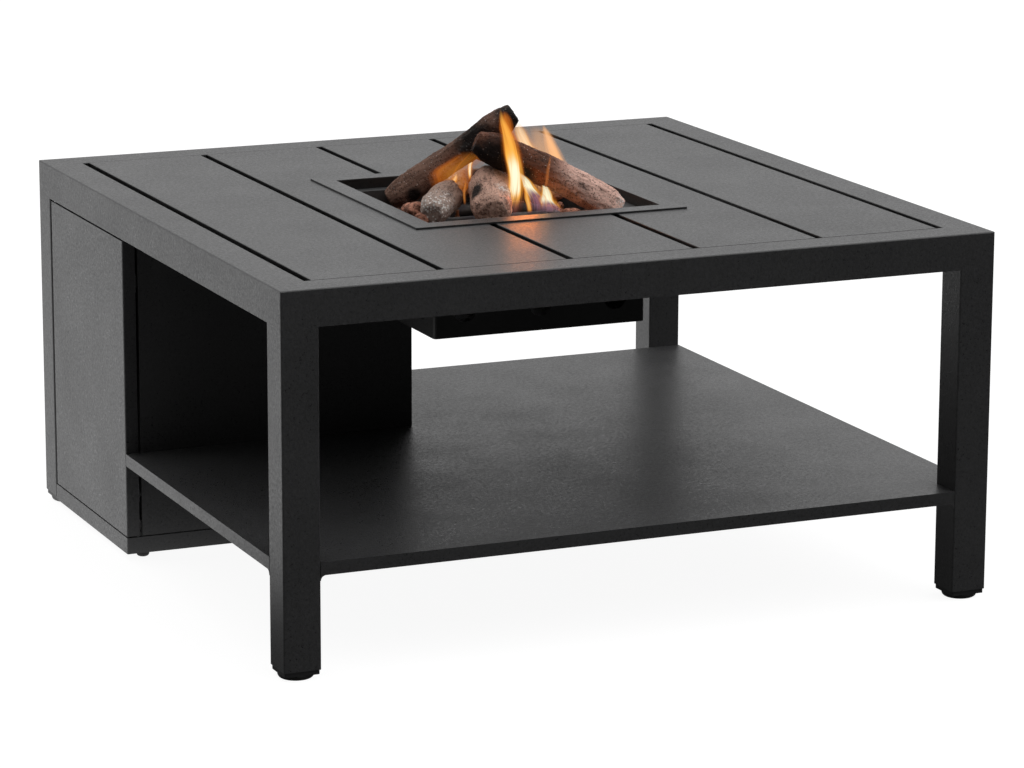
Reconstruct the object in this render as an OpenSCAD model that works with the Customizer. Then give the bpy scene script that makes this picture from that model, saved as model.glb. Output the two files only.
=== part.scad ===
// Square gas fire pit table: slatted aluminium top, hanging burner with ceramic logs,
// lower shelf and a cabinet with a door for the gas bottle.
// Frame: X runs along the front edge to the right, Y to the back, Z up, origin on the floor
// under the middle of the table top. All sizes are in millimetres.

/* [Table] */
// Width of the table top, left to right
table_w = 1000; // [950:5:1100]
// Depth of the table top, front to back
table_d = 1000; // [950:5:1100]
// Height of the table top above the floor
table_h = 500; // [460:5:560]
// Side of the square leg tube, which is also the width of the top rails
tube_w = 50; // [44:1:60]
// Height of the top rails
rail_h = 48; // [42:1:60]
// Wall of the leg and rail tubes
tube_wall = 2; // [1.5:0.5:3]
// Rounding of the long edges of legs and rails
edge_r = 2; // [1:0.5:4]

/* [Feet] */
// Part of the plastic leg cap that shows under the leg
cap_lip_h = 6; // [4:1:10]
// How far the cap's lip stands back from the leg's faces
cap_inset = 1.5; // [0.5:0.5:3]
// Height of the cap's plug inside the leg
cap_plug_h = 20; // [14:1:30]
// Play of the cap's plug in the leg on each side
cap_play = 0.1; // [0.05:0.05:0.3]
// Diameter of the levelling foot
foot_d = 47; // [34:1:48]
// Thickness of the levelling foot
foot_h = 7; // [5:1:10]
// Diameter of the levelling foot's screw
foot_screw_d = 12; // [8:1:14]
// Length of the screw above the foot
foot_screw_l = 48; // [40:1:60]
// Radial play of screws and pins in their bores
pin_play = 0.05; // [0.03:0.01:0.1]
// Rounding of the foot's lower edge
foot_round = 6; // [1:0.5:6.5]

/* [Slatted top] */
// Gap between neighbouring slats, and between the outer slats and the side rails
slat_gap = 10; // [4:0.5:12]
// Height of a slat
slat_h = 20; // [16:1:24]
// Wall of the slat channel
slat_wall = 2.5; // [2:0.5:4]
// Seam between the slats' ends and the front and back rails
slat_seam = 1; // [0.5:0.25:3]
// Width of the cross tubes that carry the slats
bearer_w = 30; // [20:1:34]
// Space between the outer cross tubes and the rails
bearer_edge = 5; // [2:1:20]
// Space between the inner cross tubes and the burner trim
bearer_side = 10; // [5:1:20]

/* [Burner] */
// Outer width of the burner's trim plate
trim_w = 395; // [385:1:420]
// Thickness of the trim plate
trim_t = 2.5; // [2:0.5:5]
// Width of the trim's flat band
trim_band = 28; // [24:1:34]
// Thickness of the trim's downward lip
lip_t = 2; // [1:0.5:3]
// Depth of the lip under the table top
lip_h = 18; // [14:1:20]
// Space between the lip and the slats' cut-out
cut_clear = 4; // [2:0.5:6]
// Outer width of the burner box
box_w = 310; // [300:1:334]
// Depth of the burner box under the table top
box_depth = 160; // [140:1:170]
// Sheet thickness of the burner box and pan
box_wall = 2; // [1:0.5:3]
// Rounding of the box's upright corners
box_corner = 5; // [3:1:10]
// Diameter of the air holes in the box
vent_d = 34; // [24:1:40]
// Distance between the air holes
vent_pitch = 111; // [90:1:116]
// Height of the air holes' centres above the box's underside
vent_rise = 37; // [28:1:40]
// Space between the pan and the box
pan_clear = 3; // [2:0.5:5]
// Height of the pan's rolled rim
pan_rim_h = 6; // [4:0.5:8]
// Depth of the pan, from its rim to its floor
pan_depth = 38; // [36:1:44]
// Space between the pan's rim and the lip
rim_clear = 1; // [0.5:0.25:2]
// Radius of the ring burner at the middle of its tube
ring_r = 85; // [78:1:90]
// Diameter of the ring burner's tube
ring_tube_d = 20; // [16:1:22]
// Wall of the burner's tubes
ring_wall = 1.5; // [1:0.25:2]
// Height of the ring above the pan's floor
ring_lift = 4; // [3:0.5:8]
// Diameter of the burner's cross tube and of its neck
neck_d = 16; // [14:1:18]
// Length of the neck under the pan
neck_drop = 24; // [18:1:30]
// Diameter of the flame ports
port_d = 3; // [2:0.5:4]
// Diameter of the gas pipe
pipe_d = 10; // [8:1:12]
// Bend radius of the gas pipe at its middle line
pipe_bend = 25; // [20:1:40]

/* [Cabinet] */
// Width of the gas cabinet, left to right
cab_w = 424; // [400:1:440]
// Depth of the gas cabinet, front to back
cab_d = 329; // [310:1:345]
// Thickness of the cabinet's sheet
sheet = 2; // [1.5:0.5:3]
// Height of the cabinet's small feet
cab_foot_h = 9; // [6:1:14]
// Diameter of the cabinet's small feet
cab_foot_d = 18; // [14:1:24]
// Distance of the cabinet's feet from its left and right faces
cab_foot_side = 28; // [22:1:60]
// Distance of the cabinet's feet from its front and back faces
cab_foot_front = 18; // [14:1:60]
// Height of the cabinet's base tray
plinth_h = 23; // [18:1:34]
// Shadow gap between the base tray and the panels
panel_gap = 2; // [1.5:0.5:4]
// Height of the base's upstand behind the panels
upstand_h = 22; // [14:1:30]
// Width of the panels' folded flanges
flange_w = 18; // [14:1:24]
// Depth of the folded door
door_t = 18; // [17:1:22]
// Gap between the door and the back left leg
door_gap_leg = 6; // [5.5:0.5:10]
// Gap between the door and the left rail
door_gap_top = 2.5; // [2:0.5:5]
// Gap between the door and the front panel's jamb
door_jamb = 4; // [3.5:0.5:6]
// Distance of the hinge axis from the door's back edge
hinge_inset = 10; // [9:0.5:11]
// Diameter of the hinge studs
hinge_d = 8; // [6:0.5:9]
// Diameter of the door's magnets
magnet_d = 16; // [12:1:16]
// Space between the burner box and the cabinet's panels
panel_clear = 5; // [3:0.5:8]

/* [Shelf] */
// Height of the shelf's upper face above the floor
shelf_h = 152; // [130:1:220]
// Height of the shelf's folded edge
shelf_edge = 17; // [14:1:24]
// Thickness of the shelf's sheet
shelf_sheet = 2; // [1.5:0.5:3]
// Gap between the shelf and the cabinet
shelf_clear = 0.5; // [0.3:0.1:0.9]
// Radius of the weld fillets under the shelf's edge at the legs
weld_r = 7; // [4:1:9]
// Width of the channels that stiffen the shelf
stiff_w = 40; // [30:1:60]

/* [Controls] */
// Width of the control plate on the cabinet's back
plate_w = 150; // [140:1:170]
// Height of the control plate
plate_h = 76; // [70:1:84]
// Distance between the knob and the igniter button
control_pitch = 68; // [62:1:74]
// Distance of the controls below the top rails
control_drop = 40; // [36:1:48]
// Side of the gas valve's body
valve_w = 40; // [36:1:46]
// Depth of the gas valve's body behind the control plate
valve_l = 30; // [26:1:40]
// Diameter of the valve's stem
stem_d = 8; // [6:0.5:9]
// Diameter of the control knob
knob_d = 44; // [38:1:48]
// Length of the control knob
knob_l = 22; // [18:1:26]
// How far the knob pushes in
knob_push = 4.5; // [3:0.5:5]
// Diameter of the igniter's button
button_d = 13; // [10:1:14]
// How far the button pushes in
button_push = 6; // [4:0.5:7]
// Diameter of the gas inlet's hose nozzle
inlet_d = 10; // [8:0.5:12]
// Length of the gas inlet's hose nozzle
inlet_l = 24; // [20:1:30]

/* [Logs and stones] */
// Diameter of the long log at the back left
back_log_d = 42; // [36:1:46]
// Diameter of the long log on the right
right_log_d = 46; // [38:1:48]
// Diameter of the short log in the middle
centre_log_d = 58; // [46:1:60]
// Diameter of the short log at the front left
front_log_d = 44; // [36:1:46]
// Diameter of the log behind the others
rear_log_d = 40; // [34:1:44]
// Largest width of a lava stone
stone_w = 36; // [28:1:40]

/* [Hidden] */

$fn = 48;

// Small overlap that lets a cut pass right through a wall
cut = 1;

// Colours
coat = "#3a3a3b";
dark_coat = "#222223";
black_plastic = "#18181a";
steel = "#8d8f92";
brass = "#b58c3c";
white_ceramic = "#e8e4da";
log_brown = "#6b4a3c";
stone_red = "#8a4b38";

// Table
half_w = table_w / 2;
half_d = table_d / 2;
rail_z = table_h - rail_h;
leg_z = foot_h + cap_lip_h;
slat_count = 5;
slat_w = (table_w - 2 * tube_w - (slat_count + 1) * slat_gap) / slat_count;
slat_pitch = slat_w + slat_gap;
slat_l = table_d - 2 * tube_w - 2 * slat_seam;
bearer_h = rail_h - slat_h;
leg_x = half_w - tube_w / 2;
leg_y = half_d - tube_w / 2;

// Burner
opening_w = trim_w - 2 * trim_band;
cut_w = opening_w + 2 * lip_t + 2 * cut_clear;
flange_z = table_h - lip_h;
box_z = table_h - box_depth;
pan_w = box_w - 2 * box_wall - 2 * pan_clear;
pan_floor = flange_z + pan_rim_h - pan_depth;
ring_z = pan_floor + ring_lift + ring_tube_d / 2;
bed_top = ring_z + ring_tube_d / 2;
neck_z = pan_floor - box_wall - neck_drop;
seat_t = 3;
seat_d = 44;
port_count = 24;

// Cabinet
cab_x0 = -half_w;
cab_x1 = cab_x0 + cab_w;
cab_y1 = half_d - tube_w;
cab_y0 = cab_y1 - cab_d;
cab_mid = (cab_x0 + cab_x1) / 2;
plinth_z0 = cab_foot_h;
plinth_z1 = plinth_z0 + plinth_h;
panel_z0 = plinth_z1 + panel_gap;
jamb_x = cab_x0 + door_t + door_jamb;
back_inset = 4;
back_x0 = jamb_x + back_inset;
cut_x = -box_w / 2 - panel_clear;
cut_y = box_w / 2 + panel_clear;
cut_z = box_z - panel_clear;
door_y1 = cab_y1 - door_gap_leg;
door_z1 = rail_z - door_gap_top;
hinge_x = cab_x0 + door_t / 2;
hinge_y = door_y1 - hinge_inset;
hinge_screw_d = hinge_d - 2;
hinge_screw_l = 8;
hinge_gap = 0.5;
collar_d = hinge_d + 6;
strike_t = 1.5;
magnet_gap = 0.3;
magnet_inset = 60;
magnet_y = cab_y0 + flange_w / 2 + sheet;
magnet_z = [panel_z0 + magnet_inset, door_z1 - magnet_inset];

// Controls
control_z = rail_z - control_drop;
valve_x = cab_mid + control_pitch / 2;
igniter_x = cab_mid - control_pitch / 2;
plate_t = 2;
plate_y = cab_y1 + plate_t;
valve_y = cab_y1 - valve_l / 2;
outlet_l = 8;
pipe_inset = 50;
pipe_x = cut_x + pipe_inset;
injector_w = 18;
injector_h = 22;
stem_reach = 19;
stem_depth = 14;
stem_flat = 0.7;
knob_gap = 1;
knob_y = plate_y + knob_push + knob_gap;
collar_l = 8;
igniter_d = 22;
igniter_l = 46;
nut_t = 4;
inlet_collar = 8;

// Points of an arc about [cx, cy] from angle a to angle b
function arc(cx, cy, r, a, b, steps = 4) =
    [for (i = [0:steps]) let (t = a + (b - a) * i / steps) [cx + r * cos(t), cy + r * sin(t)]];

// Outline of a rectangle about the origin with round corners
function rounded_rect(w, h, r) = concat(
    arc(w / 2 - r, h / 2 - r, r, 0, 90), arc(-w / 2 + r, h / 2 - r, r, 90, 180),
    arc(-w / 2 + r, -h / 2 + r, r, 180, 270), arc(w / 2 - r, -h / 2 + r, r, 270, 360));

// Box between two corners
module block(low, high) {
    translate(low) cube(high - low);
}

// Cylinder along Y from y0 to y1
module bar_y(x, z, d, y0, y1) {
    translate([x, y0, z]) rotate([-90, 0, 0]) cylinder(d = d, h = y1 - y0);
}

// Cylinder along X from x0 to x1
module bar_x(y, z, d, x0, x1) {
    translate([x0, y, z]) rotate([0, 90, 0]) cylinder(d = d, h = x1 - x0);
}

// Top rails

// Section of a rail, Z up from its underside and Y in from its outer face
module rail_section() {
    inner_r = edge_r / 2;
    difference() {
        polygon(concat(
            [[0, 0], [tube_w, 0]],
            arc(tube_w - inner_r, rail_h - inner_r, inner_r, 0, 90),
            arc(edge_r, rail_h - edge_r, edge_r, 90, 180)));
        translate([tube_wall, tube_wall]) square([tube_w - 2 * tube_wall, rail_h - 2 * tube_wall]);
    }
}

// Rail along X with mitred ends, its outer face at y = -reach
module rail(len, reach) {
    half = len / 2;
    translate([0, 0, rail_z]) intersection() {
        translate([-half, -reach, 0]) rotate([90, 0, 90]) linear_extrude(len) rail_section();
        linear_extrude(rail_h) polygon(concat(
            [[-half + tube_w, -reach + tube_w]],
            arc(-half + edge_r, -reach + edge_r, edge_r, 225, 270),
            arc(half - edge_r, -reach + edge_r, edge_r, 270, 315),
            [[half - tube_w, -reach + tube_w]]));
    }
}

module front_rail() {
    color(coat) rail(table_w, half_d);
}

module back_rail() {
    color(coat) rotate([0, 0, 180]) rail(table_w, half_d);
}

module left_rail() {
    color(coat) difference() {
        rotate([0, 0, -90]) rail(table_d, half_w);
        translate([hinge_x, hinge_y, rail_z - cut])
            cylinder(d = hinge_screw_d + 2 * pin_play, h = tube_wall + 2 * cut);
    }
}

module right_rail() {
    color(coat) rotate([0, 0, 90]) rail(table_d, half_w);
}

// Legs, caps and levelling feet

module leg(sx, sy) {
    color(coat) translate([sx * leg_x, sy * leg_y, leg_z]) linear_extrude(rail_z - leg_z)
        difference() {
            polygon(rounded_rect(tube_w, tube_w, edge_r));
            square(tube_w - 2 * tube_wall, center = true);
        }
}

// Plastic cap: a lip under the leg, a plug inside it and a bore for the foot's screw
module leg_cap() {
    lip_w = tube_w - 2 * cap_inset;
    plug_w = tube_w - 2 * tube_wall - 2 * cap_play;
    difference() {
        union() {
            translate([0, 0, foot_h]) linear_extrude(cap_lip_h)
                polygon(rounded_rect(lip_w, lip_w, edge_r));
            translate([0, 0, leg_z]) linear_extrude(cap_plug_h) square(plug_w, center = true);
        }
        translate([0, 0, foot_h - cut])
            cylinder(d = foot_screw_d + 2 * pin_play, h = cap_lip_h + cap_plug_h + 2 * cut);
    }
}

module leg_caps() {
    color(black_plastic) for (sx = [-1, 1], sy = [-1, 1])
        translate([sx * leg_x, sy * leg_y, 0]) leg_cap();
}

module levelling_foot(sx, sy) {
    r = foot_d / 2;
    screw_r = foot_screw_d / 2;
    color(black_plastic) translate([sx * leg_x, sy * leg_y, 0]) rotate_extrude() polygon(concat(
        [[0, 0]],
        arc(r - foot_round, foot_round, foot_round, 270, 360),
        [[r, foot_h], [screw_r, foot_h], [screw_r, foot_h + foot_screw_l], [0, foot_h + foot_screw_l]]));
}

// Slats and the tubes under them

// Channel with two inner ribs, its upper face at Y = 0
module slat_section() {
    r = edge_r / 2;
    cells = 3;
    cell_w = (slat_w - (cells + 1) * slat_wall) / cells;
    difference() {
        polygon(concat(
            [[-slat_w / 2, -slat_h], [slat_w / 2, -slat_h]],
            arc(slat_w / 2 - r, -r, r, 0, 90), arc(-slat_w / 2 + r, -r, r, 90, 180)));
        for (i = [0:cells - 1])
            translate([-slat_w / 2 + slat_wall + i * (cell_w + slat_wall), -slat_h - cut])
                square([cell_w, slat_h - slat_wall + cut]);
    }
}

// Slat number i, counted from -2 on the left to 2 on the right
module slat(i) {
    translate([i * slat_pitch, slat_l / 2, table_h]) rotate([90, 0, 0])
        linear_extrude(slat_l) slat_section();
}

module burner_cutout() {
    translate([0, 0, table_h - slat_h / 2]) cube([cut_w, cut_w, 2 * slat_h], center = true);
}

module outer_slat(side) {
    color(coat) slat(side * 2);
}

module inner_slat(side) {
    color(coat) difference() {
        slat(side);
        burner_cutout();
    }
}

// Half of the middle slat, on one side of the burner
module centre_slat(side) {
    color(coat) intersection() {
        difference() {
            slat(0);
            burner_cutout();
        }
        translate([0, side * half_d, table_h]) cube([slat_pitch, table_d, 4 * slat_h], center = true);
    }
}

module slat_bearers() {
    len = table_w - 2 * tube_w;
    outer = half_d - tube_w - bearer_edge - bearer_w / 2;
    inner = trim_w / 2 + bearer_side + bearer_w / 2;
    color(dark_coat) for (y = [-outer, -inner, inner, outer])
        translate([-len / 2, y - bearer_w / 2, rail_z]) rotate([90, 0, 90]) linear_extrude(len)
            difference() {
                square([bearer_w, bearer_h]);
                translate([tube_wall, tube_wall])
                    square([bearer_w - 2 * tube_wall, bearer_h - 2 * tube_wall]);
            }
}

// Lower shelf

// The shelf's outline round the legs and the cabinet, moved in by i
function shelf_outline(i) = let (
        x = half_w - i, y = half_d - i,
        leg_in_x = half_w - tube_w - i, leg_in_y = half_d - tube_w - i,
        notch_y = -half_d + tube_w + i,
        cab_x = cab_x1 + shelf_clear + i, cab_y = cab_y0 - shelf_clear - i)
    [[-leg_in_x, -y], [leg_in_x, -y], [leg_in_x, notch_y], [x, notch_y], [x, leg_in_y],
     [cab_x, leg_in_y], [cab_x, cab_y], [-x, cab_y], [-x, notch_y], [-leg_in_x, notch_y]];

// Hollow weld fillet in the corner below the shelf's edge, its faces along +X and -Y
module weld_fillet() {
    linear_extrude(shelf_sheet) polygon(concat([[0, 0]], arc(weld_r, -weld_r, weld_r, 90, 180)));
}

module lower_shelf() {
    under = shelf_h - shelf_edge;
    leg_in_x = half_w - tube_w;
    leg_in_y = half_d - tube_w;
    color(coat) union() {
        difference() {
            translate([0, 0, under]) linear_extrude(shelf_edge) polygon(shelf_outline(0));
            translate([0, 0, under - cut])
                linear_extrude(shelf_edge - shelf_sheet + cut) polygon(shelf_outline(shelf_sheet));
        }
        for (m = [0, 1]) mirror([m, 0, 0]) {
            translate([-leg_in_x, -half_d + shelf_sheet, under]) rotate([90, 0, 0]) weld_fillet();
            translate([-half_w, -leg_in_y, under]) rotate([90, 0, 90]) weld_fillet();
        }
        translate([half_w, leg_in_y, under]) rotate([90, 0, -90]) weld_fillet();
    }
}

module shelf_stiffeners() {
    depth = shelf_edge - shelf_sheet - 1;
    top = shelf_h - shelf_sheet;
    front_y = (cab_y0 - half_d) / 2;
    back_y = (cab_y0 + cab_y1) / 2;
    full_x = half_w - shelf_sheet;
    color(coat) for (run = [[front_y, -full_x], [back_y, cab_x1 + shelf_clear + shelf_sheet]])
        difference() {
            block([run[1], run[0] - stiff_w / 2, top - depth], [full_x, run[0] + stiff_w / 2, top]);
            block([run[1] - cut, run[0] - stiff_w / 2 + shelf_sheet, top - depth + shelf_sheet],
                  [full_x + cut, run[0] + stiff_w / 2 - shelf_sheet, top + cut]);
        }
}

// Gas cabinet

// Tray under the cabinet, with a wide flange for the hinge under the door and an
// upstand behind each fixed panel
module cabinet_base() {
    hole_d = 16;
    hole_pitch = 70;
    in_x1 = cab_x1 - sheet;
    in_y0 = cab_y0 + sheet;
    in_y1 = cab_y1 - sheet;
    up_z1 = plinth_z1 + upstand_h;
    color(coat) difference() {
        union() {
            difference() {
                translate([cab_mid, (cab_y0 + cab_y1) / 2, plinth_z0])
                    linear_extrude(plinth_h) polygon(rounded_rect(cab_w, cab_d, edge_r));
                block([cab_x0 + sheet, in_y0, plinth_z0 + sheet], [in_x1, in_y1, plinth_z1 + cut]);
            }
            block([cab_x0 + sheet, in_y0, plinth_z1 - sheet], [jamb_x, in_y1, plinth_z1]);
            difference() {
                block([jamb_x, in_y0, plinth_z1 - sheet], [in_x1, in_y1, up_z1]);
                block([jamb_x - cut, in_y0 + sheet, plinth_z1 - sheet - cut],
                      [in_x1 - sheet, in_y1 - sheet, up_z1 + cut]);
            }
        }
        translate([hinge_x, hinge_y, plinth_z1 - sheet - cut])
            cylinder(d = hinge_screw_d + 2 * pin_play, h = sheet + 2 * cut);
        for (i = [-1:1], j = [-1:1])
            translate([cab_mid + i * hole_pitch, (cab_y0 + cab_y1) / 2 + j * hole_pitch, plinth_z0 - cut])
                cylinder(d = hole_d, h = sheet + 2 * cut);
    }
}

module cabinet_feet() {
    r = cab_foot_d / 2;
    flat_r = r / 2;
    color(black_plastic) for (x = [cab_x0 + cab_foot_side, cab_x1 - cab_foot_side],
                              y = [cab_y0 + cab_foot_front, cab_y1 - cab_foot_front])
        translate([x, y, 0]) rotate_extrude() polygon(concat(
            [[0, 0]], arc(flat_r, flat_r, r - flat_r, 270, 360, 6), [[r, cab_foot_h], [0, cab_foot_h]]));
}

module cabinet_front_panel() {
    y0 = cab_y0;
    y1 = cab_y0 + sheet;
    color(dark_coat) difference() {
        union() {
            block([jamb_x, y0, panel_z0], [cab_x1, y1, rail_z]);
            block([jamb_x, y0, plinth_z1 + upstand_h], [jamb_x + sheet, y1 + flange_w, rail_z]);
            block([jamb_x, y0, rail_z - sheet], [cab_x1 - sheet, y1 + flange_w, rail_z]);
        }
        block([cut_x, y0 - cut, cut_z], [cab_x1 + cut, y1 + flange_w + cut, rail_z + cut]);
        for (z = magnet_z) bar_x(magnet_y, z, magnet_d + 2 * pin_play, jamb_x - cut, jamb_x + sheet + cut);
    }
}

module cabinet_right_panel() {
    x0 = cab_x1 - sheet;
    y0 = cab_y0 + sheet;
    y1 = cab_y1 - sheet;
    color(dark_coat) difference() {
        union() {
            block([x0, y0, panel_z0], [cab_x1, y1, rail_z]);
            block([x0 - flange_w, y0 + flange_w, rail_z - sheet], [cab_x1, y1 - flange_w, rail_z]);
        }
        block([x0 - flange_w - cut, y0 - cut, cut_z], [cab_x1 + cut, cut_y, rail_z + cut]);
    }
}

// Back panel, with an opening behind the control plate and air slots low down
module cabinet_back_panel() {
    y0 = cab_y1 - sheet;
    rim = 12;
    slot_w = 60;
    slot_h = 6;
    slot_pitch = 16;
    color(coat) difference() {
        union() {
            block([back_x0, y0, panel_z0], [cab_x1, cab_y1, rail_z]);
            block([back_x0, y0 - flange_w, plinth_z1 + upstand_h], [back_x0 + sheet, y0, rail_z]);
            block([back_x0, y0 - flange_w, rail_z - sheet], [cab_x1 - sheet, y0, rail_z]);
        }
        block([cab_mid - plate_w / 2 + rim, y0 - cut, control_z - plate_h / 2 + rim],
              [cab_mid + plate_w / 2 - rim, cab_y1 + cut, control_z + plate_h / 2 - rim]);
        for (side = [-1, 1], i = [0:3])
            translate([cab_mid + side * cab_w / 4 - slot_w / 2, y0 - cut,
                       plinth_z1 + upstand_h + slot_pitch * (i + 1)])
                cube([slot_w, sheet + 2 * cut, slot_h]);
    }
}

// Folded door: a sheet with edges turned in, and lips along its front and back edges
module cabinet_door() {
    lip_back = cab_x0 + door_t;
    hole_d = hinge_d + 4;
    color(coat) difference() {
        translate([0, 0, panel_z0]) linear_extrude(door_z1 - panel_z0) polygon(concat(
            [[lip_back, door_y1]],
            arc(cab_x0 + edge_r, door_y1 - edge_r, edge_r, 90, 180),
            arc(cab_x0 + edge_r, cab_y0 + edge_r, edge_r, 180, 270),
            [[lip_back, cab_y0]]));
        block([cab_x0 + sheet, cab_y0 + sheet, panel_z0 + sheet],
              [lip_back - sheet, door_y1 - sheet, door_z1 - sheet]);
        block([lip_back - sheet - cut, cab_y0 + flange_w + sheet, panel_z0 + flange_w],
              [lip_back + cut, door_y1 - flange_w - sheet, door_z1 - flange_w]);
        translate([hinge_x, hinge_y, panel_z0 - cut]) cylinder(d = hole_d, h = sheet + 2 * cut);
        translate([hinge_x, hinge_y, door_z1 - sheet - cut]) cylinder(d = hole_d, h = sheet + 2 * cut);
    }
}

// Bush for a hinge stud: a spigot in the door's edge and a body behind it
module door_bush() {
    bore_r = hinge_d / 2 + pin_play;
    spigot_r = hinge_d / 2 + 2;
    body_r = spigot_r + 0.8;
    body_l = 10;
    rotate_extrude() polygon([
        [bore_r, 0], [spigot_r, 0], [spigot_r, sheet], [body_r, sheet],
        [body_r, sheet + body_l], [bore_r, sheet + body_l]]);
}

module door_bushes() {
    color("white") {
        translate([hinge_x, hinge_y, panel_z0]) door_bush();
        translate([hinge_x, hinge_y, door_z1]) rotate([180, 0, 0]) door_bush();
    }
}

module door_strikes() {
    w = magnet_d - 2;
    h = magnet_d + 10;
    x0 = cab_x0 + door_t;
    color(steel) for (z = magnet_z)
        block([x0, magnet_y - w / 2, z - h / 2], [x0 + strike_t, magnet_y + w / 2, z + h / 2]);
}

// Magnets in the jamb, each a cup with a flange behind the sheet
module door_magnets() {
    x0 = cab_x0 + door_t + strike_t + magnet_gap;
    x1 = jamb_x + sheet;
    color(steel) for (z = magnet_z) {
        bar_x(magnet_y, z, magnet_d, x0, x1);
        bar_x(magnet_y, z, magnet_d + 2, x1, x1 + 4);
    }
}

// Shouldered stud: a shank in the door's bush, a collar and a screw in the sheet
module hinge_stud(collar_t, screw_l) {
    shank_l = 13;
    rotate_extrude() polygon([
        [0, -screw_l], [hinge_screw_d / 2, -screw_l], [hinge_screw_d / 2, 0], [collar_d / 2, 0],
        [collar_d / 2, collar_t], [hinge_d / 2, collar_t], [hinge_d / 2, collar_t + shank_l],
        [0, collar_t + shank_l]]);
}

module upper_hinge_stud() {
    color(steel) translate([hinge_x, hinge_y, rail_z]) rotate([180, 0, 0])
        hinge_stud(door_gap_top - hinge_gap, hinge_screw_l);
}

module lower_hinge_stud() {
    color(steel) translate([hinge_x, hinge_y, plinth_z1])
        hinge_stud(panel_gap - hinge_gap, hinge_screw_l);
}

// Burner

module burner_trim() {
    color(coat) difference() {
        union() {
            translate([0, 0, table_h]) linear_extrude(trim_t) polygon(rounded_rect(trim_w, trim_w, edge_r));
            translate([0, 0, flange_z]) linear_extrude(lip_h)
                square(opening_w + 2 * lip_t, center = true);
        }
        translate([0, 0, flange_z - cut]) linear_extrude(lip_h + trim_t + 2 * cut)
            square(opening_w, center = true);
    }
}

// Hanging box with air holes on all sides and a flange under the trim's lip
module burner_box() {
    outer = box_w;
    inner = box_w - 2 * box_wall;
    flange = opening_w + 2 * lip_t;
    drain_d = 12;
    color(dark_coat) difference() {
        union() {
            translate([0, 0, box_z]) linear_extrude(flange_z - box_z)
                polygon(rounded_rect(outer, outer, box_corner));
            translate([0, 0, flange_z - box_wall]) linear_extrude(box_wall) square(flange, center = true);
        }
        translate([0, 0, box_z + box_wall]) linear_extrude(flange_z - box_z)
            polygon(rounded_rect(inner, inner, box_corner - box_wall));
        for (i = [-1:1]) {
            bar_y(i * vent_pitch, box_z + vent_rise, vent_d, -box_w / 2 - cut, box_w / 2 + cut);
            bar_x(i * vent_pitch, box_z + vent_rise, vent_d, -box_w / 2 - cut, box_w / 2 + cut);
        }
        bar_y(pipe_x, control_z, pipe_d + 2, box_w / 2 - box_wall - cut, box_w / 2 + cut);
        for (sx = [-1, 1], sy = [-1, 1]) translate([sx * box_w / 4, sy * box_w / 4, box_z - cut])
            cylinder(d = drain_d, h = box_wall + 2 * cut);
    }
}

// Pan with a rolled rim, air holes round the ring burner and holes for what passes through
module burner_pan() {
    rim_w = opening_w - 2 * rim_clear;
    inner = pan_w - 2 * box_wall;
    air_d = 10;
    air_r = ring_r + ring_tube_d / 2 + 20;
    air_count = 12;
    color(steel) difference() {
        union() {
            translate([0, 0, pan_floor - box_wall]) linear_extrude(pan_depth + box_wall)
                square(pan_w, center = true);
            translate([0, 0, flange_z]) linear_extrude(pan_rim_h) square(rim_w, center = true);
        }
        translate([0, 0, pan_floor]) linear_extrude(pan_depth + cut) square(inner, center = true);
        translate([0, 0, pan_floor - box_wall - cut]) {
            cylinder(d = neck_d + 1, h = box_wall + 2 * cut);
            for (i = [0:air_count - 1]) rotate([0, 0, (i + 0.5) * 360 / air_count])
                translate([air_r, 0, 0]) cylinder(d = air_d, h = box_wall + 2 * cut);
            for (side = [-1, 1]) translate(probe_place(side))
                cylinder(d = probe_d + 1, h = box_wall + 2 * cut);
        }
    }
}

// Ring burner: a drilled ring, a cross tube and a neck with air holes that stands on a disc
module burner_ring() {
    air_d = 7;
    bore = neck_d - 2 * ring_wall;
    color(steel) translate([0, 0, ring_z]) difference() {
        union() {
            rotate_extrude() translate([ring_r, 0]) circle(d = ring_tube_d);
            bar_x(0, 0, neck_d, -ring_r, ring_r);
            translate([0, 0, neck_z - ring_z]) cylinder(d = neck_d, h = ring_z - neck_z);
            translate([0, 0, pan_floor - ring_z]) cylinder(d = seat_d, h = seat_t);
        }
        rotate_extrude() translate([ring_r, 0]) circle(d = ring_tube_d - 2 * ring_wall);
        bar_x(0, 0, bore, -ring_r, ring_r);
        translate([0, 0, neck_z - ring_z - cut]) cylinder(d = bore, h = ring_z - neck_z + cut);
        for (i = [0:port_count - 1]) rotate([0, 0, (i + 0.5) * 360 / port_count])
            translate([ring_r, 0, 0]) cylinder(d = port_d, h = ring_tube_d);
        for (a = [0, 90]) rotate([0, 0, a + 45])
            bar_x(0, neck_z + neck_drop * 0.65 - ring_z, air_d, -neck_d, neck_d);
    }
}

// Brass block with a jet that plugs into the neck from below
module injector() {
    jet_d = neck_d - 2 * ring_wall - 2 * pin_play;
    jet_l = 6;
    color(brass) difference() {
        union() {
            translate([0, 0, control_z + (neck_z - control_z - injector_h / 2) / 2])
                cube([injector_w, injector_w, neck_z - control_z + injector_h / 2], center = true);
            translate([0, 0, neck_z]) cylinder(d = jet_d, h = jet_l);
        }
        translate([0, 0, control_z]) cylinder(d = 2, h = neck_z - control_z + jet_l + cut);
    }
}

// Quarter bend in plan about [cx, cy], starting at angle a
module pipe_elbow(cx, cy, a) {
    translate([cx, cy, control_z]) rotate([0, 0, a])
        rotate_extrude(angle = 90) translate([pipe_bend, 0]) circle(d = pipe_d);
}

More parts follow.
